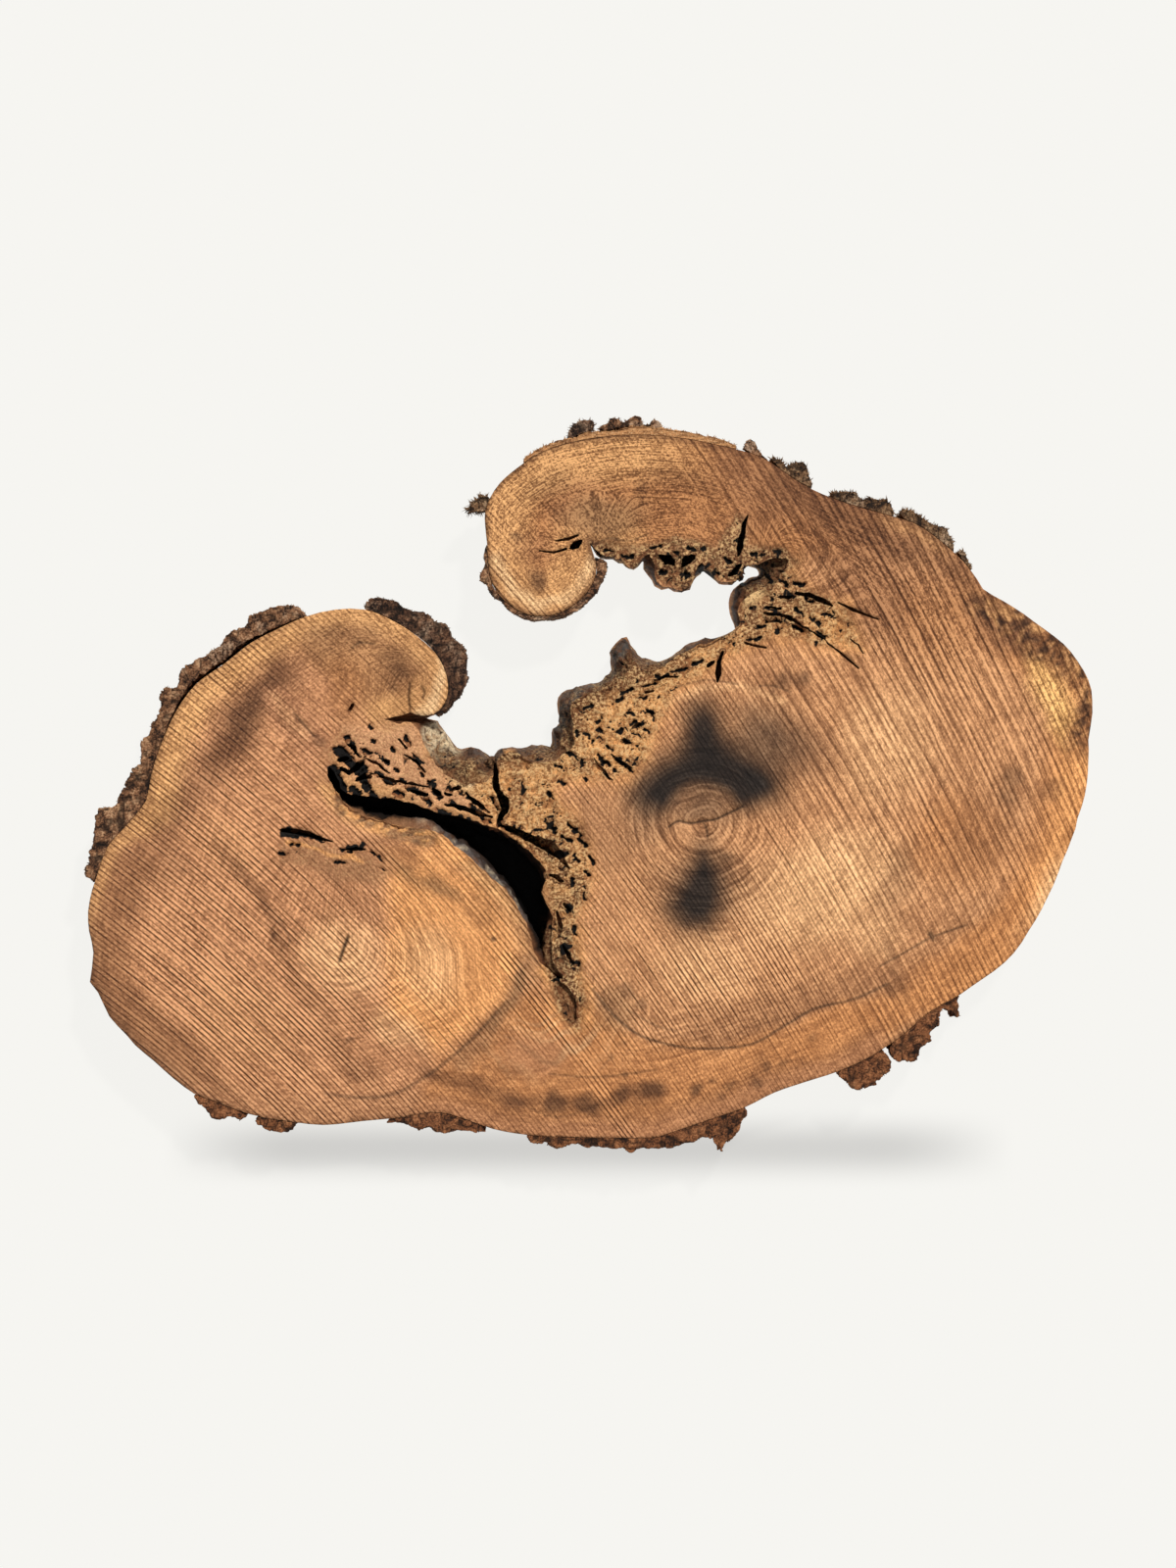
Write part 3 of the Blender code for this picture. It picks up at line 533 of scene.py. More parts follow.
def paint_left_curl(canvas, near_rim, drift):
    x, y = canvas.x, canvas.y
    curl = area(x, y, ((290, 600), (470, 600), (480, 735), (400, 745), (345, 700), (320, 670)), 14)
    canvas.paint(HEART_BROWN, 0.95 * curl)
    canvas.paint(GOLD, 0.30 * curl)
    canvas.paint(OLIVE, 0.30 * curl * smooth(-0.1, 0.6, drift))
    canvas.spots((ARM_TAN, 0.6, 350, 700, 30, 40, 0), (DUSK, 0.45, 402, 684, 34, 30, -10, 0.95),
                 (DUSK, 0.18, 345, 650, 60, 30, -20, 0.95))
    canvas.paint(GOLD, 0.85 * curl * near_rim(8, 26, 5))
    canvas.stroke(SAP_PALE, 0.70, ((436, 640), (449, 664), (452, 692), (446, 716), (428, 726)), 9,
                  0.8)
    canvas.spots((GOLD, 0.60, 428, 705, 18, 22))
    canvas.fill(SHELF_PINK, 0.80, ((352, 742), (400, 738), (436, 742), (470, 800), (520, 840),
                (440, 820), (370, 780)), 10)


def paint_arm(canvas, near_rim, drift):
    x, y = canvas.x, canvas.y
    arm = area(x, y, ((480, 420), (700, 420), (880, 480), (900, 560), (800, 575), (730, 560),
                      (640, 570), (620, 650), (470, 650)), 16)
    canvas.paint(ARM_TAN, 0.92 * arm)
    canvas.paint(GOLD, 0.80 * arm * near_rim(26, 62, 12) * smooth(760, 640, x))
    canvas.spots((GOLD, 0.55, 525, 520, 34, 60, 20), (HEART_BROWN, 0.55, 600, 520, 60, 42, 10),
                 (OLIVE, 0.50, 620, 526, 64, 28, -8), (OLIVE, 0.25, 560, 495, 42, 22, -30),
                 (HEART_BROWN, 0.50, 775, 515, 44, 52, 15), (DUSK, 0.26, 700, 492, 70, 18, 12))
    canvas.stroke(SAP_PALE, 0.55, ((508, 572), (524, 604), (548, 618), (576, 612), (596, 592),
                  (604, 570)), 11, 0.9)
    canvas.spots((GOLD, 0.60, 575, 590, 26, 24), (DUSK, 0.48, 545, 592, 17, 22, 10),
                 (HEART_BROWN, 0.45, 545, 560, 30, 20, 0))
    canvas.stroke(HEART_BROWN, 0.85, ((760, 470), (870, 535), (960, 590), (1010, 640)), 54, 0.9)
    canvas.stroke(DUSK, 0.62, ((800, 480), (860, 530), (930, 566), (990, 600)), 30, 0.9)
    canvas.stroke(GOLD, 0.35, ((850, 590), (900, 640), (960, 690)), 20, 0.9)
    canvas.stroke(DUSK, 0.30, ((835, 565), (870, 590), (884, 610)), 20, 0.9)
    canvas.paint(DUSK, 0.70 * arm * near_rim(1, 7 + 4 * drift))
    outside = area(x, y, ((840, 470), (1130, 470), (1130, 770), (1000, 640), (840, 540)), 4)
    canvas.paint(DUSK, 0.65 * outside * near_rim(1, 7))


def paint_right_stem(canvas, near_rim):
    x, y = canvas.x, canvas.y
    side = area(x, y, ((800, 600), (1000, 560), (1130, 640), (1130, 900), (1000, 1010), (780, 1090),
                       (700, 1040), (720, 900), (790, 800)), 20)
    canvas.paint(HEART_TAN, 0.9 * side)
    canvas.spots((HEART_BROWN, 0.90, 890, 610, 90, 66, 35), (ARM_TAN, 0.5, 960, 640, 70, 60, 40),
                 (HEART_PALE, 0.80, 845, 905, 116, 78, -22),
                 (HEART_PALE, 0.50, 905, 760, 70, 90, 20), (HEART_PALE, 0.40, 720, 985, 70, 52, 0),
                 (SAP_ORANGE, 0.75, 980, 860, 70, 70, 0), (HEART_BROWN, 0.45, 1000, 850, 50, 90, 30),
                 (FADED, 0.45, 915, 900, 26, 60, 20), (HEART_PALE, 0.45, 896, 958, 44, 32, -20),
                 (HEART_BROWN, 0.55, 820, 770, 60, 50, 0))
    canvas.paint(HEART_BROWN, 0.75 * side * near_rim(20, 62, 14) * smooth(690, 650, y))
    canvas.paint(DUSK, 0.45 * side * near_rim(8, 30, 8) * smooth(700, 620, y))
    canvas.paint(SAP_ORANGE, 0.9 * side * near_rim(22, 60, 10) * smooth(560, 700, y))
    canvas.paint(HONEY, 0.90 * side * near_rim(12, 40, 7) * smooth(750, 790, y)
                 * smooth(1060, 1000, y))
    canvas.paint(SAP_PALE, 0.50 * side * near_rim(6, 24, 9) * smooth(860, 900, y)
                 * smooth(980, 940, y))
    canvas.fill(SAP_GOLD, 0.70, ((1044, 664), (1066, 672), (1086, 694), (1094, 730), (1086, 764),
                (1070, 740), (1054, 700)), 12)
    canvas.spots((HEART_BROWN, 0.85, 1020, 640, 60, 34, 36), (DUSK, 0.45, 1040, 650, 40, 26, 36),
                 (UMBER, 0.35, 1090, 668, 20, 30, -30))
    mould = near_rim(10, 34, 12) * smooth(596, 630, y) * smooth(790, 740, y) * side
    canvas.paint(DUSK, 0.45 * mould)
    speckle = layered_noise((x + 0.6 * y) / 7, (y - 0.6 * x) / 7, 0.0, 25)
    canvas.paint(UMBER, 0.90 * mould * smooth(0.05, 0.30, speckle))
    canvas.paint(GOLD, 0.70 * mould * smooth(-0.10, -0.35, speckle))
    canvas.fill(DUSK, 0.12, ((700, 1070), (800, 1040), (930, 985), (1010, 915), (1030, 940),
                (950, 1030), (800, 1100), (700, 1120)), 12)
    canvas.fill(SAP_ORANGE, 0.80, ((800, 1050), (900, 1015), (975, 960), (1050, 900), (1060, 950),
                (960, 1030), (800, 1110)), 12)
    canvas.fill(HEART_BROWN, 0.55, ((700, 1030), (800, 1010), (900, 985), (945, 1000), (870, 1022),
                (820, 1040), (760, 1066), (700, 1064)), 10)
    canvas.stroke(DUSK, 0.34, ((906, 962), (918, 1000), (926, 1020)), 10, 0.9)


def paint_foot(canvas, near_rim, drift):
    x, y = canvas.x, canvas.y
    foot = area(x, y, ((430, 1180), (430, 1105), (520, 1020), (560, 1000), (600, 1020), (650, 1060),
                       (740, 1072), (820, 1040), (900, 1015), (900, 1080), (700, 1180)), 9)
    canvas.paint(SAP_ORANGE, 0.85 * foot)
    canvas.spots((FLAME, 0.60, 545, 1075, 52, 32, 0), (DUSK, 0.25, 520, 1092, 26, 12, 10))
    bend = y + 0.012 * (x - 560.0)**2 + 14 * drift
    figure = blob(x, y, 560, 1070, 110, 50, 0, 0.8)
    for colour, strength, level, seed in ((FADED, 0.65, 0.0, 28), (HEART_PALE, 0.45, 4.0, 29)):
        streaks = value_noise(x / 60, bend / 6.5, level, seed)
        canvas.paint(colour, strength * figure * smooth(0.0, 0.6, streaks))
    canvas.stroke(FADED, 0.70, ((470, 1082), (505, 1048), (522, 1020), (536, 985)), 17, 0.9)
    canvas.stroke(OLIVE, 0.35, ((505, 1050), (520, 1026), (534, 990)), 9, 0.9)
    canvas.stroke(DUSK, 0.62, ((440, 1094), (470, 1102), (500, 1112), (530, 1124)), 13, 0.9)
    canvas.stroke(DUSK, 0.55, ((520, 1120), (570, 1130), (612, 1128), (640, 1116), (676, 1114)), 13,
                  0.9)
    canvas.spots((OLIVE, 0.45, 628, 1030, 28, 34, -30), (DUSK, 0.35, 650, 1120, 40, 18, -8),
                 (RUST, 0.35, 776, 1082, 14, 9, -30))
    canvas.paint(HEART_BROWN, 0.55 * foot * near_rim(14, 34, 8))
    canvas.paint(DUSK, 0.35 * foot * near_rim(1, 7))
    canvas.paint(FLAME, 0.45 * foot * near_rim(8, 22, 6))


def paint_stains(plain, warped):
    """The dark horseshoe round the right stem's middle, and its shadowy tail."""
    warped.spots((STAIN_FADE, 0.85, 786, 752, 82, 54, 30, 0.95),
                 (STAIN_FADE, 0.50, 730, 905, 62, 70, -20, 0.95),
                 (STAIN_FADE, 0.75, 662, 822, 46, 66, 12, 0.95),
                 (STAIN_FADE, 0.40, 690, 920, 40, 70, -20, 0.95),
                 (STAIN_FADE, 0.75, 720, 822, 60, 50, 0, 0.9))
    near = Canvas(0.7 * plain.x + 0.3 * warped.x, 0.7 * plain.y + 0.3 * warped.y, plain.tone)
    dx, dy = near.x - STAIN_MIDDLE[0], near.y - STAIN_MIDDLE[1]
    reach = np.hypot(dx, dy)
    turn = np.degrees(np.arctan2(-dy, dx))
    outer = 80.0 + 14.0 * smooth(100, 30, turn)
    upper = smooth(-2, 34, turn) * smooth(184, 146, turn)
    arch = smooth(28, 50, reach) * (1.0 - smooth(outer - 20, outer + 22, reach)) * upper
    plain.paint(STAIN, 0.98 * arch)
    near.spots((STAIN, 0.80, 770, 798, 26, 22, 10, 0.9), (STAIN, 0.97, 717, 744, 36, 56, -4, 0.85),
               (STAIN, 0.90, 724, 768, 54, 34, 0, 0.95))
    plain.fill(STAIN, 0.97, ((713, 862), (722, 862), (736, 884), (740, 905), (738, 928), (724, 948),
               (700, 944), (680, 926), (690, 904), (702, 882)), 17)
    near.spots((STAIN, 0.45, 700, 936, 38, 18, 0, 0.9), (STAIN, 0.45, 740, 874, 16, 9, 30, 0.9),
               (HEART_TAN, 0.70, 712, 843, 30, 11, -6, 0.9),
               (HEART_TAN, 0.40, 744, 852, 26, 14, 20, 0.9))
    plain.stroke(HEART_PALE, 0.65, ((640, 790), (652, 752), (682, 716), (718, 701), (760, 700),
                 (800, 716)), 6, 0.9)


def paint_rot(canvas):
    px, py = canvas.x, canvas.y
    ragged = 7.0 * layered_noise(px / 14, py / 14, 3.0, 27)
    rot = area(px + ragged, py - ragged, ROT_AREA, 15)
    lumps = layered_noise(px / 17, py / 17, 2.0, 21)
    canvas.paint(PUNK_GOLD, 0.9 * rot)
    canvas.paint(PUNK_BROWN, 0.75 * rot * smooth(0.0, 0.5, lumps))
    upper = rot * smooth(690, 640, py + 0.3 * (px - 700))
    canvas.paint(HEART_BROWN, 0.8 * upper)
    canvas.paint(RUST, 0.6 * upper * smooth(-0.1, 0.4, lumps))
    low_side = band(px, py, ((566, 850), (574, 900), (574, 960), (580, 1010)), 26, 0.7)
    canvas.paint(RUST, 0.45 * low_side * rot)
    canvas.paint(DARK_BROWN_AND_SHADE, 0.6 * low_side * rot * smooth(0.0, 0.4, lumps))
    from_shore, _ = distance_to_line(px, py, SHORE)
    canvas.paint(RUST, 0.85 * (1.0 - smooth(8, 26, from_shore + 9 * lumps)))
    torn = area(px, py, TORN_STRIP, 5)
    fibres = value_noise(px / 9 + py / 20, py / 3.5, 0.0, 23)
    gaps = value_noise(px / 8 + py / 20, py / 3.0, 5.0, 24)
    canvas.paint(FADED, 0.9 * torn)
    canvas.paint(PUNK_GOLD, 0.85 * torn * smooth(-0.2, 0.3, fibres))
    canvas.paint(DARK_BROWN_AND_SHADE, 0.6 * torn * smooth(0.25, 0.6, gaps))
    canvas.spots((FADED, 0.42, 610, 850, 44, 62, -20))
    # The bay's broken edge, which faces the sun: pale and yellow torn wood with a painted highlight.
    canvas.stroke(TORN_PALE_AND_HIGHLIGHT, 0.9, ((438, 748), (450, 770), (462, 786), (478, 798)), 10, 0.8)
    canvas.spots((TORN_YELLOW_AND_HIGHLIGHT, 0.5, 470, 800, 20, 10, 30))
    arm_rot = area(px, py, ARM_ROT_AREA, 6)
    canvas.paint(FADED, 0.85 * arm_rot)
    canvas.paint(RUST, 0.75 * arm_rot * smooth(-0.2, 0.4, lumps))
    canvas.fill(TORN_YELLOW_AND_HIGHLIGHT, 0.95, ((756, 606), (766, 600), (780, 600), (778, 612), (762, 618)), 4)
    canvas.fill(RUST, 0.92, ROTTEN_TIP, 5)
    canvas.spots((HEART_BROWN, 0.45, 800, 700, 60, 24, 10), (DUSK, 0.45, 806, 694, 26, 11, 6))


def crevices(px, py, shelf):
    """Cracks in the rot, 1 in their middle: they run out from the right stem's middle."""
    dx, dy = px - RIGHT_PITH[0], py - RIGHT_PITH[1]
    reach = np.hypot(dx, dy)
    turn = np.arctan2(dy, dx)
    wander = 0.7 * value_noise(px / 9, py / 9, 0.0, 50)
    radial = 1.0 - np.abs(value_noise(reach / 12.0, turn * 34.0 + wander, 0.0, 51))
    slope = math.radians(35.0)
    down = px * math.cos(slope) + py * math.sin(slope)
    cross = -px * math.sin(slope) + py * math.cos(slope)
    sloping = 1.0 - np.abs(value_noise(down / 12.0, cross / 4.4 + wander, 2.0, 52))
    around = smooth(690, 650, py)
    crossing = 1.0 - np.abs(value_noise(down / 8.0 + wander, cross / 5.0, 4.0, 53))
    crest = radial * (1.0 - around) + crossing * around
    crest = crest * (1.0 - shelf) + sloping * shelf
    patchy = smooth(-0.15, 0.45, value_noise(px / 13, py / 13, 7.0, 54))
    return smooth(0.88, 0.98, crest) * patchy


def height_of_face(px, py, rot, shelf):
    """Depth of the face below the sawn plane in metres, how much black painted shade its cracks and
    holes take, and how high its rot stands.
    """
    across, along = saw_place(px, py)
    wander = saw_wander(px, py, across, along)
    strength = 0.55 + 0.45 * value_noise(across / 34, along / 90, 3.0, 42)
    coarse = coarse_side(px, py)
    wave = 0.5 + 0.5 * np.sin(2.0 * math.pi * (across + wander) / COARSE_MARK)
    depth = coarse * MARK_DEPTH * strength * wave**2
    depth += 0.00010 * (1.0 + value_noise(across / 3.1, along / 60, 1.0, 43))
    loose = np.clip(rot + shelf, 0, 1)
    depth *= 1.0 - 0.8 * loose

    lumps = layered_noise(px / 13, py / 13, 0.0, 55, 3)
    crumbs = value_noise(px / 3.4, py / 3.4, 0.0, 56) + 0.6 * value_noise(px / 2.1, py / 2.1, 5.0, 57)
    relief = rot * (0.0034 + 0.0036 * lumps + 0.0012 * crumbs)
    relief += shelf * (0.0010 + 0.0009 * lumps + 0.0003 * crumbs)
    cracks = crevices(px, py, np.clip(shelf, 0, 1)) * loose
    holes = rot * smooth(0.60, 0.74, layered_noise(px / 6.5, py / 6.5, 6.0, 58, 2))
    depth += relief + CRACK_DEPTH * cracks + HOLE_DEPTH * holes
    high = 0.5 - 0.5 * lumps - 0.25 * crumbs
    torn = area(px, py, TORN_STRIP, 5)
    fibre = value_noise(across / 2.6, along / 7, 3.0, 61)
    depth += torn * (0.0030 + 0.0016 * lumps + 0.0012 * fibre)
    return np.maximum(depth, 0.0), np.maximum(cracks, holes), np.clip(high, 0, 1) * loose


# Pits with torn edges: middle, half length, half width, and turn clockwise in degrees.
PITS = (
    (345, 795, 16, 4.5, 62), (352, 772, 13, 5, 40), (366, 785, 10, 5.5, 20), (357, 757, 8, 3, 50),
    (372, 800, 9, 4, 60), (345, 764, 6, 2.5, 0), (362, 808, 8, 4, 45), (381, 757, 3, 1.8, 40),
    (378, 742, 4, 1.3, 50), (392, 776, 5, 1.6, 40), (400, 764, 3, 1.5, 70), (416, 757, 7, 2, 62),
    (424, 774, 8, 1.5, 58), (386, 790, 5, 1.5, 25), (397, 798, 6, 1.8, 30), (412, 797, 5, 1.5, 15),
    (421, 806, 8, 2.6, 28), (407, 810, 7, 2.4, 30), (396, 818, 8, 2.6, 32), (441, 801, 4, 2.6, 50),
    (446, 811, 7, 2.4, 50), (436, 817, 7, 2.6, 40), (459, 806, 4, 1.8, 30), (474, 812, 7, 1.8, 35),
    (465, 822, 8, 1.8, 30), (485, 826, 9, 2.6, 40), (494, 836, 8, 2.2, 38), (476, 837, 9, 2, 22),
    (452, 829, 8, 2, 20), (428, 829, 7, 2, 15), (381, 812, 7, 3, 60), (372, 820, 6, 2.5, 50),
    (404, 786, 4, 1.3, 40), (430, 790, 4, 1.4, 45), (374, 768, 5, 1.6, 30), (505, 820, 8, 1.6, 60),
    (296, 852, 9, 2.6, 8), (314, 853, 13, 2.2, 12), (292, 846, 5, 2.2, -10), (332, 861, 7, 1.3, 30),
    (362, 865, 9, 2, 0), (370, 862, 4, 2, -30), (352, 868, 7, 1, 15), (288, 871, 6, 1, -5),
    (347, 880, 6, 1, 8), (384, 873, 8, 0.9, 40), (301, 862, 5, 1, 10), (388, 886, 5, 0.9, 30),
    (612, 745, 4, 2, 40), (633, 746, 5, 2, -25), (646, 738, 5, 2, -28), (660, 745, 4, 1.4, 20),
    (664, 726, 4, 2, 15), (650, 741, 8, 1.2, -30), (622, 763, 5, 1.2, 25), (640, 757, 5, 1.5, 20),
    (613, 775, 7, 1.6, 60), (622, 781, 9, 1.4, 48), (635, 778, 9, 1.2, 30), (643, 786, 5, 1.2, 40),
    (618, 790, 7, 1.2, 55), (600, 722, 5, 1.6, -20), (588, 748, 4, 2, 60), (580, 766, 5, 2, 80),
    (593, 778, 5, 1.6, 70), (570, 782, 5, 1.6, 20), (605, 756, 3, 1.6, 0), (596, 795, 4, 1.4, 40),
    (572, 798, 4, 1.5, 20), (562, 812, 5, 1.5, 60), (590, 850, 7, 1.3, 25),
    (584, 844, 7, 1.5, 35), (578, 856, 7, 1.5, 30), (565, 848, 4, 2, 60), (594, 860, 7, 1.4, 35),
    (572, 870, 6, 1.6, 40), (588, 876, 5, 1.8, 60), (604, 878, 5, 1.5, 50), (574, 888, 6, 2, 70),
    (600, 892, 4, 1.4, 45), (584, 900, 5, 2, 80), (596, 915, 4, 1.5, 70), (580, 926, 5, 2, 75),
    (586, 950, 5, 2.2, 85), (576, 968, 6, 2.4, 80), (588, 982, 4, 1.8, 60), (568, 995, 5, 1.5, 70),
    (640, 705, 8, 1.3, -22), (662, 699, 8, 1.2, -14), (630, 715, 6, 1.3, -30), (612, 735, 5, 1.4, -40),
    (655, 712, 6, 1.2, 10), (676, 690, 7, 1.4, -10), (692, 684, 8, 1.5, -16), (712, 676, 6, 1.4, -20),
    (770, 622, 6, 1.3, 20), (786, 622, 7, 1.5, 10), (800, 628, 8, 1.6, 20), (815, 624, 6, 1.5, 40),
    (790, 634, 8, 1.3, 0), (776, 640, 6, 1.3, -12), (812, 640, 8, 1.4, 30), (832, 634, 7, 1.5, 35),
    (826, 612, 7, 1.4, 30), (806, 608, 6, 1.3, 10), (846, 628, 7, 1.4, 25), (800, 594, 5, 1.6, 40),
    (782, 588, 5, 2, 60), (815, 596, 6, 1.3, 10), (838, 648, 6, 1.2, 30), (770, 652, 8, 1.4, -12),
    (622, 562, 6, 1.4, 10), (640, 568, 6, 2, 0), (690, 566, 4, 2.4, 40), (700, 586, 4, 3, 60),
    (676, 584, 4, 3, 30), (716, 580, 4, 2.4, 20), (730, 584, 4, 2.2, 60), (742, 572, 5, 1.8, 50),
    (668, 558, 7, 1.3, -10), (706, 560, 6, 1.5, 30), (772, 566, 7, 1.4, 5), (786, 576, 6, 1.6, 10),
)


def pits_of_face(px, py):
    """1 in the listed pits, whose edges are ragged."""
    ragged = 1.5 * value_noise(px / 3.2, py / 3.2, 1.0, 59)
    ragged = ragged + 0.9 * value_noise(px / 1.9, py / 1.9, 2.0, 60)
    inside = np.zeros(len(px))
    for cx, cy, length, width, turn in PITS:
        near = (np.abs(px - cx) < length + 8) & (np.abs(py - cy) < length + 8)
        if not near.any():
            continue
        angle = math.radians(turn)
        dx, dy = px[near] - cx, py[near] - cy
        u = np.maximum(np.abs(dx * math.cos(angle) + dy * math.sin(angle)) - (length - width), 0)
        v = -dx * math.sin(angle) + dy * math.cos(angle)
        away = np.hypot(u, v) - width + ragged[near]
        inside[near] = np.maximum(inside[near], smooth(0.9, -0.7, away))
    return inside


def marks_of_lines(px, py):
    """Depth and darkness of the fine lines on the face."""
    depth = np.zeros(len(px))
    dark = np.zeros(len(px))
    for points, width, deep, darkness in LINES:
        distance, share = distance_to_line(px, py, curve(points))
        taper = 0.35 + 0.65 * np.sin(math.pi * np.clip(share, 0.02, 0.98)) ** 0.5
        on_line = 1.0 - smooth(0.45 * width * taper, 1.5 * width * taper + 0.5, distance)
        depth = np.maximum(depth, deep * on_line)
        dark = np.maximum(dark, darkness * on_line)
    return depth, dark


# The wood's mesh


def loops_at(bm, height):
    """The closed loops of open edges at a height, each as a list of vertices."""
    edges = [e for e in bm.edges if e.is_boundary and all(abs(v.co.z - height) < 1e-5 for v in e.verts)]
    links = {}
    for edge in edges:
        a, b = edge.verts
        links.setdefault(a, []).append(b)
        links.setdefault(b, []).append(a)
    loops = []
    seen = set()
    for start in links:
        if start in seen:
            continue
        loop = [start]
        seen.add(start)
        while True:
            after = [v for v in links[loop[-1]] if v not in seen]
            if not after:
                break
            loop.append(after[0])
            seen.add(after[0])
        loops.append(loop)
    return loops


def split_long_edges(bm, target):
    """Splits edges until each is near its target length."""
    for _ in range(7):
        long_edges = [e for e in bm.edges if e.calc_length() > 1.5 * target(e)]
        if not long_edges:
            return
        bmesh.ops.subdivide_edges(bm, edges=long_edges, cuts=1)
        bmesh.ops.triangulate(bm, faces=[f for f in bm.faces if len(f.verts) > 3])


def open_walls(node):
    """The solid's walls alone, in triangles of an even size."""
    bm = bmesh.new()
    bm.from_mesh(node.data)
    bmesh.ops.remove_doubles(bm, verts=bm.verts, dist=2e-6)
    flat = []
    for face in bm.faces:
        heights = [v.co.z for v in face.verts]
        if min(heights) > THICKNESS - 1e-5 or max(heights) < 1e-5:
            flat.append(face)
    bmesh.ops.delete(bm, geom=flat, context="FACES")

    def target(edge):
        middle = (edge.verts[0].co + edge.verts[1].co) / 2
        px, py = pixels(middle.x, middle.y)
        if not in_box(px, py, HOLLOW_BOX):
            return WALL_STEP
        if middle.z > THICKNESS - 0.003:
            return EDGE_STEP
        if middle.z > THICKNESS - 0.045:
            return HOLLOW_STEP
        return HOLLOW_STEP * 2.2

    split_long_edges(bm, target)
    return bm


def lattice_points():
    """Points on the face in rows along the saw marks, closer together in the rot."""

    def rows(step_across, step_along):
        across = np.arange(-700.0, 760.0, step_across)
        along = np.arange(-760.0, 760.0, step_along)
        grid_across, grid_along = np.meshgrid(across, along, indexing="ij")
        grid_along = grid_along + (np.arange(len(across))[:, None] % 2) * step_along * 0.5
        return saw_point(grid_across.ravel(), grid_along.ravel())

    px, py = rows(ACROSS, ALONG)
    plain = rotten(px, py) < 0.05
    fx, fy = rows(FINE, FINE)
    near = in_box(fx, fy, FINE_BOX)
    fx, fy = fx[near], fy[near]
    fine = rotten(fx, fy) >= 0.05
    return np.concatenate([px[plain], fx[fine]]), np.concatenate([py[plain], fy[fine]])


def rotten(px, py):
    """The soft parts of the face, where its mesh is finer and its edges are ragged."""
    return np.clip(area(px, py, ROT_AREA, 9) + area(px, py, SHELF_AREA, 9)
                   + area(px, py, ARM_ROT_AREA, 6) + area(px, py, TORN_UNDER_CRACK, 6)
                   + area(px, py, PITTED_AREA, 5) + area(px, py, TORN_STRIP, 5)
                   + 0.8 * area(px, py, POCKET_AREA, 6), 0, 1)


def line_points():
    """Rows of points beside each fine line, so that the mesh can hold it."""
    rows = []
    for points, width, _, _ in LINES:
        middle = along_line(curve(points), 2.6)
        ahead = np.gradient(middle, axis=0)
        ahead /= np.linalg.norm(ahead, axis=1)[:, None] + 1e-9
        side = np.stack([-ahead[:, 1], ahead[:, 0]], 1)
        for offset in (-1.6 * width - 0.6, -0.5 * width, 0.5 * width, 1.6 * width + 0.6):
            rows.append(middle + side * offset)
    return np.concatenate(rows)


def nearest_distance(px, py, others):
    """Distance from each point to the nearest of the others."""
    tree = KDTree(len(others))
    for index, (x, y) in enumerate(others):
        tree.insert((x, y, 0.0), index)
    tree.balance()
    return np.array([tree.find((x, y, 0.0))[2] for x, y in zip(px, py)])


def fill_face(bm, loops, px, py, height):
    """Fills the face between loops with triangles through the loops' vertices and free points."""
    fixed = [v for loop in loops for v in loop]
    coords = [Vector(pixels(v.co.x, v.co.y)) for v in fixed]
    coords += [Vector((x, y)) for x, y in zip(px, py)]
    edges = []
    start = 0
    outlines = []
    for loop in loops:
        count = len(loop)
        edges += [(start + i, start + (i + 1) % count) for i in range(count)]
        outlines.append([tuple(coords[start + i]) for i in range(count)])
        start += count
    found, _, faces, origins, _, _ = delaunay_2d_cdt(coords, edges, [], 0, 1e-4)
    middles = np.array([[sum(found[i][k] for i in face) / 3 for k in (0, 1)] for face in faces])
    inside = inside_outlines(middles[:, 0], middles[:, 1], outlines)
    verts = []
    for index in range(len(found)):
        fixed_ids = [o for o in origins[index] if o < len(fixed)]
        if fixed_ids:
            verts.append(fixed[fixed_ids[0]])
        else:
            verts.append(None)
    for face, keep in zip(faces, inside):
        if not keep:
            continue
        corners = []
        for index in face:
            if verts[index] is None:
                x, y = place(*found[index])
                verts[index] = bm.verts.new((x, y, height))
            corners.append(verts[index])
        if len(set(corners)) == 3 and not bm.faces.get(corners):
            bm.faces.new(corners)


def outlines_of(loops):
    """The pixels of each loop's vertices."""
    return [[pixels(v.co.x, v.co.y) for v in loop] for loop in loops]


def wood_mesh(node):
    """The wood's closed mesh: even walls, a fine face on top and a plain one below."""
    bm = open_walls(node)
    top_loops = loops_at(bm, THICKNESS)
    outlines = outlines_of(top_loops)
    rim_points = np.array(max(outlines, key=len))
    edge_points = np.concatenate(outlines)
    px, py = lattice_points()
    inside = inside_outlines(px, py, outlines)
    px, py = px[inside], py[inside]
    marks = line_points()
    room = np.where(rotten(px, py) > 0.05, 0.9, 1.6)
    clear = nearest_distance(px, py, edge_points) > room
    clear &= nearest_distance(px, py, marks) > room
    px, py = px[clear], py[clear]
    keep = inside_outlines(marks[:, 0], marks[:, 1], outlines)
    keep &= nearest_distance(marks[:, 0], marks[:, 1], edge_points) > 1.2
    marks = marks[keep]
    px = np.concatenate([px, marks[:, 0]])
    py = np.concatenate([py, marks[:, 1]])
    fill_face(bm, top_loops, px, py, THICKNESS)

    bottom_loops = loops_at(bm, 0.0)
    step = FLOOR_STEP / UNIT
    gx, gy = np.meshgrid(np.arange(60, 1150, step), np.arange(400, 1200, step))
    gx, gy = gx.ravel(), gy.ravel()
    outlines = outlines_of(bottom_loops)
    inside = inside_outlines(gx, gy, outlines)
    inside &= nearest_distance(gx, gy, np.concatenate(outlines)) > 0.4 * step
    fill_face(bm, bottom_loops, gx[inside], gy[inside], 0.0)
    bmesh.ops.recalc_face_normals(bm, faces=bm.faces)
    return bm, rim_points


# The wood's attributes and shape

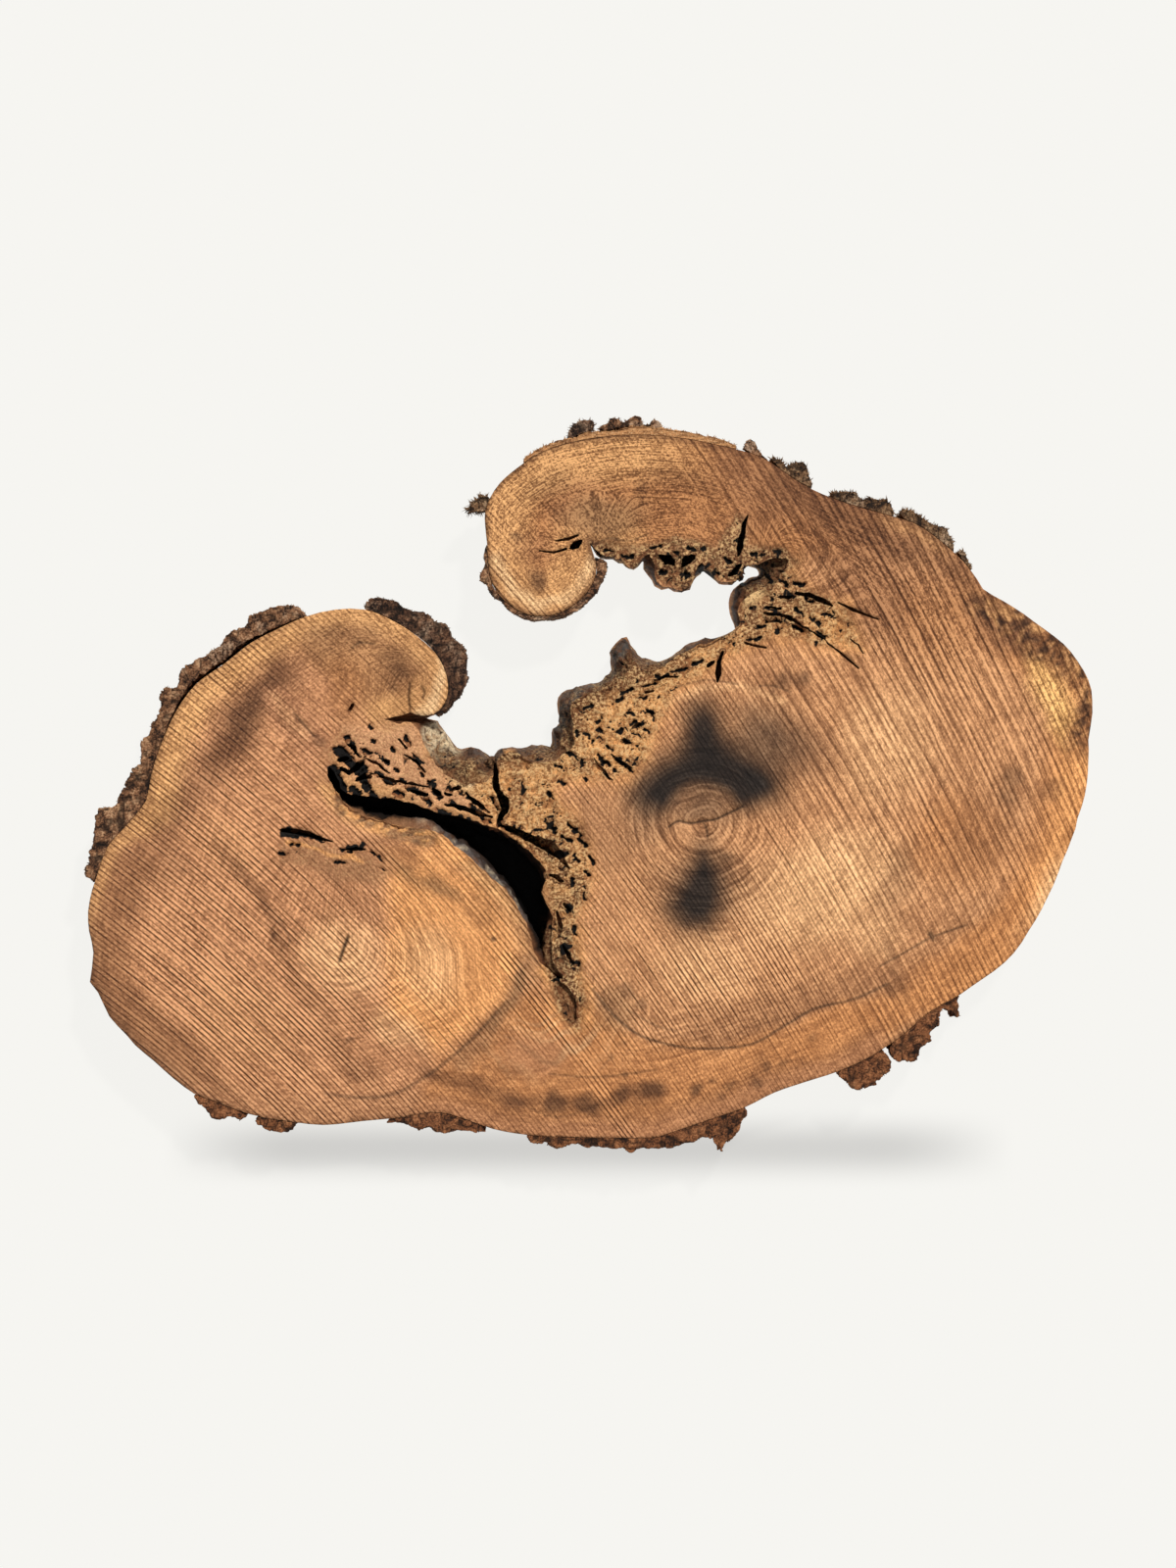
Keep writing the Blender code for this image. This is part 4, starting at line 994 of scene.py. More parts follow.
# The open hollow, the pocket between the stems, and the outer rims that bark lies on.
HOLLOW_ZONE = (
    (432, 738), (462, 736), (484, 700), (560, 640), (606, 612), (620, 556), (650, 566), (700, 540),
    (760, 560), (800, 560), (812, 640), (740, 668), (640, 694), (584, 764), (500, 782), (440, 764),
)
POCKET_AREA = (
    (326, 752), (356, 742), (410, 752), (470, 785), (560, 838), (604, 900), (606, 1062), (546, 1062),
    (502, 962), (440, 868), (340, 832),
)

# The line along which torn wood stands in the pocket.
POCKET_DEBRIS = ((560, 856), (576, 886), (580, 920), (566, 960), (562, 990))


def rims(px, py, outer):
    """Distance to the outer rim, in pixels, leaving the hollow's rim out."""
    own = np.array(outer)
    own = own[~inside_polygon(own[:, 0], own[:, 1], HOLLOW_ZONE)]
    return nearest_distance(px, py, own)


def ring_place(px, py, rim):
    """How far a place lies from the middle of its stem to its rim, from 0 to 1."""
    left, _ = distance_to_line(px, py, SKELETON[0])
    right, _ = distance_to_line(px, py, SKELETON[1])
    wobble = 1.0 + 0.05 * layered_noise(px / 70, py / 70, 0.0, 61)
    near = np.minimum(left, right)
    return near * wobble / (near * wobble + rim + 1.0)


# Where the rings, the saw marks and the grain stand out more or less than elsewhere: the change,
# and an ellipse's middle, half sizes, turn and softness.
RING_PATCHES = (
    (0.75, 350, 960, 170, 130, 30, 0.9), (0.65, 450, 980, 90, 120, -20, 0.9),
    (1.70, 715, 850, 112, 118, 0, 0.5), (0.80, 415, 690, 60, 60, 0, 0.8),
    (1.90, 610, 490, 170, 80, 8, 0.6), (-1.60, 602, 545, 70, 42, 0, 0.9),
    (1.60, 830, 560, 150, 80, 30, 0.7), (0.60, 700, 1060, 160, 60, 0, 0.8),
    (0.50, 1000, 940, 130, 60, -40, 0.8),
)
SAW_PATCHES = (
    (0.55, 250, 1010, 190, 150, 40, 0.8), (0.20, 230, 850, 110, 110, 0, 0.8),
    (0.45, 940, 640, 120, 90, 30, 0.8), (0.30, 740, 1000, 130, 60, 0, 0.8),
    (-0.40, 465, 960, 66, 110, -20, 0.9), (-0.38, 706, 820, 100, 110, 0, 0.9),
    (-0.34, 370, 680, 130, 90, 0, 0.7), (-0.40, 610, 520, 150, 110, 8, 0.5),
    (-0.30, 612, 850, 50, 70, -20, 0.9), (-0.20, 960, 950, 150, 80, -30, 0.8),
    (-0.25, 560, 596, 60, 40, 0, 0.8), (-0.20, 560, 1090, 90, 44, 0, 0.8),
)
GRIT_PATCHES = (
    (0.45, 230, 720, 130, 120, 0, 0.8), (0.55, 380, 660, 110, 60, 0, 0.7),
    (0.85, 930, 600, 150, 100, 30, 0.8), (1.30, 600, 515, 190, 130, 0, 0.6),
    (0.40, 800, 540, 120, 90, 20, 0.8), (0.90, 1080, 700, 50, 86, -20, 0.9),
    (0.20, 190, 980, 100, 110, 0, 0.8), (-0.25, 460, 980, 90, 110, 0, 0.8),
    (-0.25, 570, 1080, 100, 50, 0, 0.8),
)
CROSS_MARKS = ((520, 982), (580, 1066), (640, 1152))
SMOOTH_FOOT = (
    (430, 1105), (520, 1050), (560, 1080), (700, 1072), (860, 1040), (900, 1080), (700, 1180),
    (430, 1180),
)


def patches(px, py, elsewhere, rows):
    """A value that changes in the ellipses of a table."""
    total = np.full(len(px), elsewhere)
    for change, *ellipse in rows:
        total += change * blob(px, py, *ellipse)
    return total


def vertex_values(mesh, what):
    """The places or the normals of a mesh's vertices, one row for each."""
    values = np.empty(len(mesh.vertices) * 3)
    mesh.vertices.foreach_get(what, values)
    return values.reshape(-1, 3)


def ring_numbers(px, py, rim):
    """The number of the ring each point lies on, which is round about the right stem's middle."""
    reach = np.hypot(px - RIGHT_RINGS_MIDDLE[0], (py - RIGHT_RINGS_MIDDLE[1]) * 1.06)
    reach = reach + 3.0 * value_noise(px / 34, py / 34, 0.0, 44)
    reach = reach + 1.3 * value_noise(px / 11, py / 11, 0.0, 46)
    round_middle = 1.0 - smooth(84, 128, reach)
    outer_rings = ring_place(px, py, rim) * RINGS
    return outer_rings * (1.0 - round_middle) + reach / ROUND_RING_STEP * round_middle


def write_patterns(mesh, px, py, rim, rot, shelf, wall):
    """Writes where the saw marks and rings lie, and how strong marks, rings, rot and grain are."""
    across, along = saw_place(px, py)
    wander = saw_wander(px, py, across, along)
    ring_share = patches(px, py, 0.55, RING_PATCHES)
    saw_share = patches(px, py, 0.60, SAW_PATCHES)
    saw_share += 0.80 * band(px, py, CROSS_MARKS, 13, 0.6) - 0.28 * area(px, py, SMOOTH_FOOT, 14)
    grit = patches(px, py, 0.95, GRIT_PATCHES)
    solid = 1.0 - np.clip(rot + shelf, 0, 1)
    rotten_share = np.clip(rot + 0.3 * shelf, 0, 1)
    write_vectors(mesh, "saw", across + wander, along, ring_numbers(px, py, rim))
    write_vectors(mesh, "share", np.maximum(saw_share, 0.1) * solid, ring_share * solid, rotten_share)
    write_vectors(mesh, "kind", coarse_side(px, py), grit, wall.astype(float))


def move_vertices(mesh, co, normal, px, py, on_top, wall, depth, loose):
    """Sinks the face and the walls, inside the box that the vertices lie in."""
    edge = np.array([pixels(*co[i, :2]) for i in np.unique(boundary_of_top(mesh, on_top))])
    from_edge = nearest_distance(px, py, edge)
    fade = np.where(loose, smooth(-1.0, 2.0, from_edge), smooth(0.0, 3.5, from_edge))
    crumble = 0.5 + 0.5 * layered_noise(px / 4, py / 4, 9.0, 71, 2)
    edge_drop = loose * EDGE_DROP * crumble * (1 - fade)
    moved = co.copy()
    moved[on_top, 2] -= (depth * fade + edge_drop)[on_top]
    move_walls(moved, normal, px, py, wall, distance_to_bark(co, wall))
    moved = np.clip(moved, co.min(axis=0), co.max(axis=0))
    mesh.vertices.foreach_set("co", moved.ravel())


def wood_attributes(mesh, outer):
    """Writes the colours and patterns of the wood into its mesh, and moves its vertices."""
    co = vertex_values(mesh, "co")
    normal = vertex_values(mesh, "normal")
    px, py = pixels(co[:, 0], co[:, 1])
    tear_edges(co, px, py)
    px, py = pixels(co[:, 0], co[:, 1])
    on_top = co[:, 2] > THICKNESS - 1e-6
    on_floor = co[:, 2] < 1e-6
    wall = ~(on_top | on_floor)

    rim = rims(px, py, outer)
    rot = np.clip(area(px, py, ROT_AREA, 8) + area(px, py, ARM_ROT_AREA, 5), 0, 1)
    shelf = np.clip(area(px, py, SHELF_AREA, 8) + 0.6 * area(px, py, TORN_UNDER_CRACK, 5)
                    + 0.9 * area(px, py, TORN_STRIP, 5), 0, 1)
    depth, dark, raised = height_of_face(px, py, rot, shelf)
    pits = pits_of_face(px, py)
    line_depth, line_dark = marks_of_lines(px, py)
    depth = np.maximum(depth + PIT_DEPTH * pits, line_depth)
    raised[wall] *= 0.35
    tone = tone_of_face(px, py, rim)
    tone[wall] = tone_of_walls(px, py, THICKNESS - co[:, 2])[wall]

    move_vertices(mesh, co, normal, px, py, on_top, wall, depth, rot + shelf > 0.3)
    write_patterns(mesh, px, py, rim, rot, shelf, wall)
    # How much black painted shade the cracks, holes, pits and fine lines take, and how high the rot
    # stands for its painted highlight.
    write_vectors(mesh, "dark", np.maximum(dark, pits), line_dark, raised)
    write_colours(mesh, "tone", tone)


def tree_of(node):
    """A node's faces, ready for finding the nearest one."""
    return BVHTree.FromPolygons([v.co.copy() for v in node.data.vertices],
                                [tuple(face.vertices) for face in node.data.polygons])


def distance_to_bark(co, wall):
    """Distance of the walls' vertices to the nearest bark plate, in metres."""
    trees = []
    for name in PLATES:
        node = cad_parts[name]
        low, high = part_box(name)
        trees.append((tree_of(node), np.array(low) - 0.01, np.array(high) + 0.01))
    away = np.full(len(co), 1.0)
    for tree, low, high in trees:
        near = wall & np.all((co > low) & (co < high), axis=1)
        for index in np.nonzero(near)[0]:
            away[index] = min(away[index], tree.find_nearest(Vector(co[index]))[3])
    return away


def tear_edges(co, px, py):
    """Shifts the soft parts sideways a little, so that their edges are ragged."""
    soft = rotten(px, py)
    z = co[:, 2] / 0.012
    for axis, seed in ((0, 73), (1, 77)):
        shift = 1.5 * value_noise(px / 6, py / 6, z, seed)
        shift = shift + 0.55 * value_noise(px / 2.9, py / 2.9, z, seed + 1)
        co[:, axis] += soft * shift * UNIT


def boundary_of_top(mesh, on_top):
    """The numbers of the face's vertices that the walls share."""
    edges = np.empty(len(mesh.edges) * 2, np.int32)
    mesh.edges.foreach_get("vertices", edges)
    edges = edges.reshape(-1, 2)
    mixed = on_top[edges[:, 0]] != on_top[edges[:, 1]]
    ends = edges[mixed].ravel()
    return ends[on_top[ends]]


def write_vectors(mesh, name, first, second, third):
    layer = mesh.attributes.new(name, "FLOAT_VECTOR", "POINT")
    values = np.stack([first, second, third], 1)
    layer.data.foreach_set("vector", np.ascontiguousarray(values, np.float32).ravel())


def write_colours(mesh, name, values):
    layer = mesh.attributes.new(name, "FLOAT_COLOR", "POINT")
    full = np.concatenate([values, np.ones((len(values), 1))], 1)
    layer.data.foreach_set("color", np.ascontiguousarray(full, np.float32).ravel())


def tone_of_walls(px, py, depth):
    """The walls' colour in linear light: bare outside, torn in the hollow with painted shade on its
    lower ledges, and painted shade in the pocket that turns black deeper down.
    """
    canvas = Canvas(px, py, plain_tone(len(px), RIM_BROWN))
    streak = layered_noise(px / 9, py / 9, depth / 0.05, 81)
    patch = layered_noise(px / 6, py / 6, depth / 0.008, 83)

    canvas.paint(HEART_BROWN, 0.6 * smooth(0.0, 0.6, streak))
    canvas.paint(DUSK, 0.6 * smooth(0.0, 0.6, -streak))
    hollow = area(px, py, HOLLOW_ZONE, 10)
    canvas.paint(PUNK_BROWN, 0.9 * hollow)
    canvas.paint(RUST, 0.9 * hollow * smooth(-0.35, 0.15, patch))
    canvas.paint(DARK_BROWN_AND_SHADE, 0.8 * hollow * smooth(0.05, 0.45, -patch))
    # Painted shade on the hollow's lower ledges, below 12 to 35 mm.
    canvas.paint(LEDGE_SHADE, 0.85 * hollow * smooth(0.012, 0.035, depth))
    # The bay's broken edge on the wall: pale torn wood with a painted highlight.
    canvas.paint(TORN_PALE_AND_HIGHLIGHT, blob(px, py, 450, 757, 20, 30, -30, 0.4) * smooth(-0.30, -0.10, patch))
    canvas.paint(PUNK_GOLD, 0.85 * blob(px, py, 478, 788, 24, 9, 24, 0.8) * smooth(-0.4, 0.2, patch))
    canvas.spots((PUNK_GOLD, 0.8, 519, 764, 10, 6, 0, 0.8))
    # A grey strip of painted shade on the hollow's wall.
    canvas.stroke(SHADED_WALL_GREY, 0.95, ((568, 742), (572, 726), (580, 712), (640, 655)), 7, 0.8)
    pocket = area(px, py, POCKET_AREA, 8)
    canvas.paint(PUNK_BROWN, 0.95 * pocket)
    # Painted shade: the pocket's walls darken below 3 to 20 mm.
    canvas.paint(DARK_BROWN_AND_SHADE, 0.9 * pocket * smooth(0.003, 0.02, depth + 0.004 * patch))
    ashen = band(px, py, ((430, 836), (470, 862), (505, 896), (528, 930)), 26, 0.9)
    canvas.paint(ASH, 0.9 * pocket * ashen * smooth(0.05, 0.02, depth) * smooth(-0.5, 0.1, patch))
    canvas.paint(TORN_PALE_AND_HIGHLIGHT, 0.45 * pocket * ashen * smooth(0.04, 0.02, depth) * smooth(0.2, 0.5, patch))
    fallen = band(px, py, POCKET_DEBRIS, 20, 0.8)
    canvas.paint(RUST, 0.9 * fallen * smooth(0.05, 0.02, depth))
    canvas.paint(HEART_BROWN, 0.7 * fallen * smooth(0.04, 0.015, depth) * smooth(0.0, 0.3, patch))
    torn = band(px, py, ((345, 808), (365, 826), (400, 838), (436, 850)), 16, 0.8)
    canvas.paint(FADED, 0.9 * pocket * torn * smooth(0.03, 0.012, depth) * smooth(-0.6, 0.2, patch))
    shown = np.clip(ashen + fallen, 0, 1)
    # Black painted shade deep in the pocket, held back on its lit ashen wall and its fallen wood.
    canvas.paint(BLACK, 0.95 * pocket * smooth(0.02, 0.05, depth - 0.02 * shown))
    # Black painted shade on the walls of the rot's pits and cracks, below 6 to 20 mm.
    canvas.paint(BLACK, 0.85 * smooth(0.006, 0.02, depth) * rotten(px, py) * (1 - hollow)
                 * (1 - shown))
    return canvas.tone


def move_walls(moved, normal, px, py, wall, from_bark):
    """Sinks the walls in flutes: fine ones outside, deep and torn ones in the hollow."""
    depth = THICKNESS - moved[:, 2]
    hollow = np.clip(area(px, py, HOLLOW_ZONE, 8) + area(px, py, POCKET_AREA, 5), 0, 1)
    x, y, z = moved[:, 0], moved[:, 1], moved[:, 2]
    flutes = 0.5 + 0.5 * layered_noise(x / 0.012, y / 0.012, z / 0.06, 91)
    torn = 0.5 + 0.5 * layered_noise(x / 0.008, y / 0.008, z / 0.010, 92)
    slits = smooth(0.80, 0.97, 1.0 - np.abs(value_noise(x / 0.007, y / 0.007, z / 0.02, 93)))
    inward = flutes * 0.0016 * (1 - hollow) + hollow * (0.0070 * torn + 0.0040 * slits)
    inward = inward * smooth(0.0, 0.004, depth) * smooth(0.0, 0.006, z)
    inward = inward * smooth(0.0012, 0.006, from_bark)
    ashen = band(px, py, ((400, 842), (436, 848), (470, 872), (505, 908), (528, 940), (546, 985)),
                 14, 0.7)
    facing = smooth(0.0, 0.5, normal[:, 0] * 0.6 + normal[:, 1] * 0.8)
    inward -= ashen * facing * 0.014 * smooth(0.001, 0.026, depth) * (0.7 + 0.5 * torn)
    fallen = band(px, py, POCKET_DEBRIS, 20, 0.8) * smooth(0.2, -0.4, normal[:, 0])
    inward -= fallen * (0.004 + 0.013 * torn) * smooth(0.003, 0.014, depth)
    level = np.hypot(normal[:, 0], normal[:, 1])
    amount = np.where(wall & (level > 0.25), inward, 0.0)
    moved[:, 0] -= normal[:, 0] / (level + 1e-6) * amount
    moved[:, 1] -= normal[:, 1] / (level + 1e-6) * amount
    moved[:, 2] -= np.where(wall, np.clip(normal[:, 2], 0, 1) * inward * 0.8, 0.0)


# Materials


class Nodes:
    """Short names for making and joining the nodes of one material."""

    def __init__(self, name):
        self.material = bpy.data.materials.new(name)
        self.material.use_nodes = True
        self.tree = self.material.node_tree
        self.shader = self.tree.nodes["Principled BSDF"]

    def feed(self, socket, value):
        if isinstance(value, bpy.types.NodeSocket):
            self.tree.links.new(value, socket)
        elif isinstance(value, tuple) and len(value) == 3 and socket.type == "RGBA":
            socket.default_value = (*value, 1.0)
        else:
            socket.default_value = value

    def attribute(self, name):
        node = self.tree.nodes.new("ShaderNodeAttribute")
        node.attribute_name = name
        return node

    def parts(self, vector):
        node = self.tree.nodes.new("ShaderNodeSeparateXYZ")
        self.feed(node.inputs[0], vector)
        return node.outputs

    def vector(self, x=0.0, y=0.0, z=0.0):
        node = self.tree.nodes.new("ShaderNodeCombineXYZ")
        for socket, value in zip(node.inputs, (x, y, z)):
            self.feed(socket, value)
        return node.outputs[0]

    def scaled(self, *pairs):
        """A vector of values times numbers. A lone number stays as it is."""
        return self.vector(*(self.times(*p) if isinstance(p, tuple) else p for p in pairs))

    def math(self, operation, first, second=0.0, third=None):
        node = self.tree.nodes.new("ShaderNodeMath")
        node.operation = operation
        self.feed(node.inputs[0], first)
        self.feed(node.inputs[1], second)
        if third is not None:
            self.feed(node.inputs[2], third)
        return node.outputs[0]

    def multiply_add(self, value, factor, more):
        return self.math("MULTIPLY_ADD", value, factor, more)

    def chain(self, operation, values):
        total = values[0]
        for value in values[1:]:
            total = self.math(operation, total, value)
        return total

    def times(self, *values):
        return self.chain("MULTIPLY", values)

    def plus(self, *values):
        return self.chain("ADD", values)

    def spread(self, value, low, high, to_low=0.0, to_high=1.0):
        node = self.tree.nodes.new("ShaderNodeMapRange")
        node.interpolation_type = "SMOOTHSTEP"
        for index, entry in enumerate((value, low, high, to_low, to_high)):
            self.feed(node.inputs[index], entry)
        return node.outputs[0]

    def noise(self, vector, scale=1.0, detail=2.0, roughness=0.5, distortion=0.0):
        node = self.tree.nodes.new("ShaderNodeTexNoise")
        self.feed(node.inputs["Vector"], vector)
        node.inputs["Scale"].default_value = scale
        node.inputs["Detail"].default_value = detail
        node.inputs["Roughness"].default_value = roughness
        node.inputs["Distortion"].default_value = distortion
        return node.outputs["Fac"]

    def stretched(self, x, y, z):
        """Object coordinates scaled along each axis."""
        node = self.tree.nodes.new("ShaderNodeTexCoord")
        mapping = self.tree.nodes.new("ShaderNodeMapping")
        self.feed(mapping.inputs["Vector"], node.outputs["Object"])
        mapping.inputs["Scale"].default_value = (x, y, z)
        return mapping.outputs[0]

    def mix(self, factor, first, second, mode="MIX"):
        node = self.tree.nodes.new("ShaderNodeMix")
        node.data_type = "RGBA"
        node.blend_type = mode
        self.feed(node.inputs[0], factor)
        self.feed(node.inputs[6], first)
        self.feed(node.inputs[7], second)
        return node.outputs[2]

    def finish(self, colour, height, roughness, strength, distance=0.001):
        self.feed(self.shader.inputs["Base Color"], colour)
        self.shader.inputs["Specular IOR Level"].default_value = 0.25
        self.feed(self.shader.inputs["Roughness"], roughness)
        bump = self.tree.nodes.new("ShaderNodeBump")
        bump.inputs["Strength"].default_value = strength
        bump.inputs["Distance"].default_value = distance
        self.feed(bump.inputs["Height"], height)
        self.feed(self.shader.inputs["Normal"], bump.outputs[0])
        return self.material


def shade(colour):
    """A 0 to 255 colour as a tuple in linear light."""
    return tuple(float(v) for v in linear(colour))


def saw_lines(nodes, across, along, period, seed):
    """Thin dark saw marks of one spacing, about 0 on average, and -1 at the darkest: dirt and painted
    shade in their grooves, and painted light on the ridges between, in step with the bump.
    """
    turn = nodes.math("SINE", nodes.times(across, 2.0 * math.pi / period))
    lines = nodes.spread(turn, -0.10, 0.98, 0.33, -0.72)
    patch_place = nodes.scaled((across, 0.9 / period), (along, 0.007), seed)
    patchy = nodes.noise(patch_place, 1.0, 2.0, 0.6)
    break_place = nodes.scaled((across, 0.62), (along, 0.11), seed)
    broken = nodes.noise(break_place, 1.0, 2.0, 0.6)
    lines = nodes.times(lines, nodes.spread(patchy, 0.34, 0.64, 0.25, 1.45))
    return nodes.times(lines, nodes.spread(broken, 0.30, 0.66, 0.40, 1.45))


def signed(nodes, vector, detail, roughness, scale=1.0):
    """Noise about 0, mostly between -1 and 1."""
    return nodes.multiply_add(nodes.noise(vector, scale, detail, roughness), 7.0, -3.5)


def saw_marks(nodes, across, along, right):
    """Saw marks of three spacings, the coarser ones on the right stem, with faint long streaks."""
    left = nodes.math("SUBTRACT", 1.0, right)
    fine = saw_lines(nodes, across, along, FINE_MARK, 0.0)
    middle = saw_lines(nodes, across, along, MIDDLE_MARK, 7.0)
    coarse = saw_lines(nodes, across, along, COARSE_MARK, 3.0)
    streaks = signed(nodes, nodes.scaled((across, 0.23), (along, 0.008), 5.0), 4.0, 0.72)
    return nodes.plus(nodes.times(fine, nodes.multiply_add(left, 1.1, 0.15)),
                      nodes.times(middle, right, 0.90), nodes.times(coarse, right, 0.50),
                      nodes.times(streaks, nodes.multiply_add(right, 0.22, 0.22)))


def year_rings(nodes, across, along, ring):
    """Rings of uneven darkness round the stems' middles."""
    years = signed(nodes, nodes.scaled((ring, 0.80), (across, 0.012), (along, 0.012)), 3.0, 0.7)
    wave = nodes.math("SINE", nodes.times(ring, 2.0 * math.pi))
    return nodes.plus(nodes.times(years, 0.95), nodes.times(wave, 0.22))


def rotted(nodes, colour, tone, soft_share, dark):
    """The colour with the rot's brown blots; pale crumbs with a painted highlight where the rot stands
    high; painted shade in the gaps between crumbs; and black painted shade in pits, holes and cracks
    and along the fine lines.
    """
    crumbs = nodes.noise(nodes.stretched(1.0, 1.0, 1.0), 310.0, 4.0, 0.72)
    blots = nodes.noise(nodes.stretched(1.0, 1.0, 1.0), 120.0, 3.0, 0.65, 0.4)
    brown = nodes.times(nodes.spread(blots, 0.56, 0.40), soft_share, 0.62)
    punk = nodes.mix(brown, colour, shade(PUNK_BROWN))
    # A painted highlight over the crumbs' own pale colour, where the crumbs and the rot stand high.
    light = nodes.times(nodes.spread(crumbs, 0.46, 0.60), nodes.spread(dark[2], 0.0, 0.45), soft_share)
    punk = nodes.mix(nodes.times(light, 0.95), punk, nodes.mix(0.80, tone, shade(TORN_YELLOW_AND_HIGHLIGHT)))
    # Painted shade in the low places between the crumbs.
    gaps = nodes.times(nodes.spread(crumbs, 0.44, 0.35), soft_share, 0.90)
    punk = nodes.mix(gaps, punk, shade(PUNK_SHADE))
    # Black painted shade in the pits, holes and cracks, and along the fine lines, which are partly dark
    # of their own.
    sunk = nodes.math("MAXIMUM", nodes.spread(dark[0], 0.22, 0.62), dark[1])
    return nodes.mix(sunk, punk, shade(BLACK)), crumbs


def wood_material():
    """End grain from the mesh's attributes: tone, with saw marks, rings, pores and rot over it."""
    nodes = Nodes("end_grain")
    across, along, ring = nodes.parts(nodes.attribute("saw").outputs["Vector"])
    saw_share, ring_share, soft_share = nodes.parts(nodes.attribute("share").outputs["Vector"])
    right, grit, on_wall = nodes.parts(nodes.attribute("kind").outputs["Vector"])
    dark = nodes.parts(nodes.attribute("dark").outputs["Vector"])
    tone = nodes.attribute("tone").outputs["Color"]
    on_face = nodes.math("SUBTRACT", 1.0, on_wall)
    marks = nodes.times(saw_marks(nodes, across, along, right), saw_share, on_face)
    rings = nodes.times(year_rings(nodes, across, along, ring), ring_share, on_face)

    grain = nodes.stretched(1.0, 1.0, 0.18)
    pores = signed(nodes, nodes.scaled((across, 0.55), (along, 0.38), (on_wall, 9.0)), 2.0, 0.75)
    flecks = signed(nodes, nodes.scaled((ring, 0.9), (along, 0.15), (across, 0.15)), 2.0, 0.6)
    cloud = signed(nodes, grain, 5.0, 0.62, 34.0)
    upright = signed(nodes, grain, 3.0, 0.65, 420.0)
    # The saw marks darken the colour in their grooves and lighten it on their ridges: partly dirt,
    # partly painted shade and light.
    value = nodes.plus(nodes.times(marks, 1.70), nodes.times(rings, 0.38),
                       nodes.times(pores, on_face, grit, 0.50),
                       nodes.times(flecks, on_face, grit, 0.32),
                       nodes.times(cloud, grit, 0.24), nodes.times(upright, on_wall, 0.42))
    brightest = nodes.spread(nodes.parts(tone)[1], 0.015, 0.10, 2.4, 0.95)
    value = nodes.math("MINIMUM", nodes.math("MAXIMUM", value, -2.2), brightest)
    tint = nodes.vector(nodes.math("POWER", 2.0, nodes.times(value, 0.86)),
                        nodes.math("POWER", 2.0, value),
                        nodes.math("POWER", 2.0, nodes.times(value, 1.10)))
    colour = nodes.mix(1.0, tone, tint, "MULTIPLY")
    colour, crumbs = rotted(nodes, colour, tone, soft_share, dark)
    height = nodes.plus(nodes.times(marks, 0.45), nodes.times(rings, 0.10), nodes.times(pores, 0.12),
                        nodes.times(crumbs, soft_share, 3.4))
    return nodes.finish(colour, height, 0.74, 0.9)


def bark_material(name, low, middle, high, crust, layers):
    """Rough bark: dark in its furrows, near black in its slits, paler on its ridges, with patches of
    crust; the dark and pale follow its relief, partly its own colour and partly painted shade and
    light.
    """
    nodes = Nodes(name)
    relief = nodes.parts(nodes.attribute("relief").outputs["Vector"])
    plain = nodes.stretched(1.0, 1.0, 1.0)
    upright = nodes.stretched(1.0, 1.0, 0.25)
    coarse = nodes.noise(upright, 90.0, 4.0, 0.65)
    fine = nodes.noise(plain, 460.0, 4.0, 0.75)
    fibres = nodes.noise(upright, layers, 3.0, 0.6, 0.5)
    # Paler on the relief's high places and darker in its low ones: partly the bark's own colour, partly
    # painted light and shade.
    light = nodes.plus(nodes.times(relief[0], 0.30), nodes.multiply_add(coarse, 2.2, -1.1),
                       nodes.multiply_add(fine, 2.6, -1.3), 0.5)
    colour = nodes.mix(nodes.spread(light, 0.05, 0.60), shade(low), shade(middle))
    colour = nodes.mix(nodes.spread(light, 0.50, 1.15), colour, shade(high))
    height_y = nodes.parts(plain)[1]
    patch = nodes.spread(nodes.noise(plain, 34.0, 3.0, 0.6), 0.48, 0.62)
    patch = nodes.times(patch, nodes.spread(light, 0.30, 0.70), nodes.spread(height_y, 0.10, 0.18))
    colour = nodes.mix(nodes.times(patch, crust), colour, shade(BARK_CRUST))
    colour = nodes.mix(nodes.times(nodes.spread(fibres, 0.46, 0.36), 0.6), colour, shade(low))
    # Near-black painted shade in the bark's slits.
    colour = nodes.mix(nodes.times(relief[1], 0.85), colour, shade(BARK_SLIT_SHADE))
    height = nodes.plus(nodes.times(coarse, 0.8), nodes.times(fine, 0.9), nodes.times(fibres, 0.4))
    return nodes.finish(colour, height, 0.85, 1.0, 0.0016)


def bast_material():
    nodes = Nodes("bast")
    fibres = nodes.noise(nodes.stretched(0.35, 1.6, 0.8), 190.0, 4.0, 0.7, 0.6)
    fine = nodes.noise(nodes.stretched(1.0, 1.0, 1.0), 500.0, 3.0, 0.7)
    colour = nodes.mix(nodes.spread(fibres, 0.34, 0.62), shade(BAST_DARK), shade(BAST_GOLD))
    colour = nodes.mix(nodes.spread(fine, 0.50, 0.72), colour, shade(BAST_PALE))
    colour = nodes.mix(nodes.spread(fine, 0.44, 0.30), colour, shade(BAST_SHADE))
    height = nodes.plus(fibres, nodes.times(fine, 0.6))
    return nodes.finish(colour, height, 0.8, 1.0, 0.0014)


# Kinds of bark: colours in its furrows, between them and on its ridges, the crust's share, and how
# fine its fibres are.
BARKS = {
    "bark_brown": ((38, 25, 18), (138, 94, 64), (206, 162, 122), 0.6, 240.0),
    "bark_pale": ((30, 21, 16), (98, 66, 47), (156, 116, 86), 0.45, 240.0),
    "bark_flaky": ((38, 28, 21), (128, 92, 62), (196, 160, 120), 0.4, 300.0),
    "bark_red": ((54, 32, 20), (136, 84, 51), (184, 126, 84), 0.2, 300.0),
}

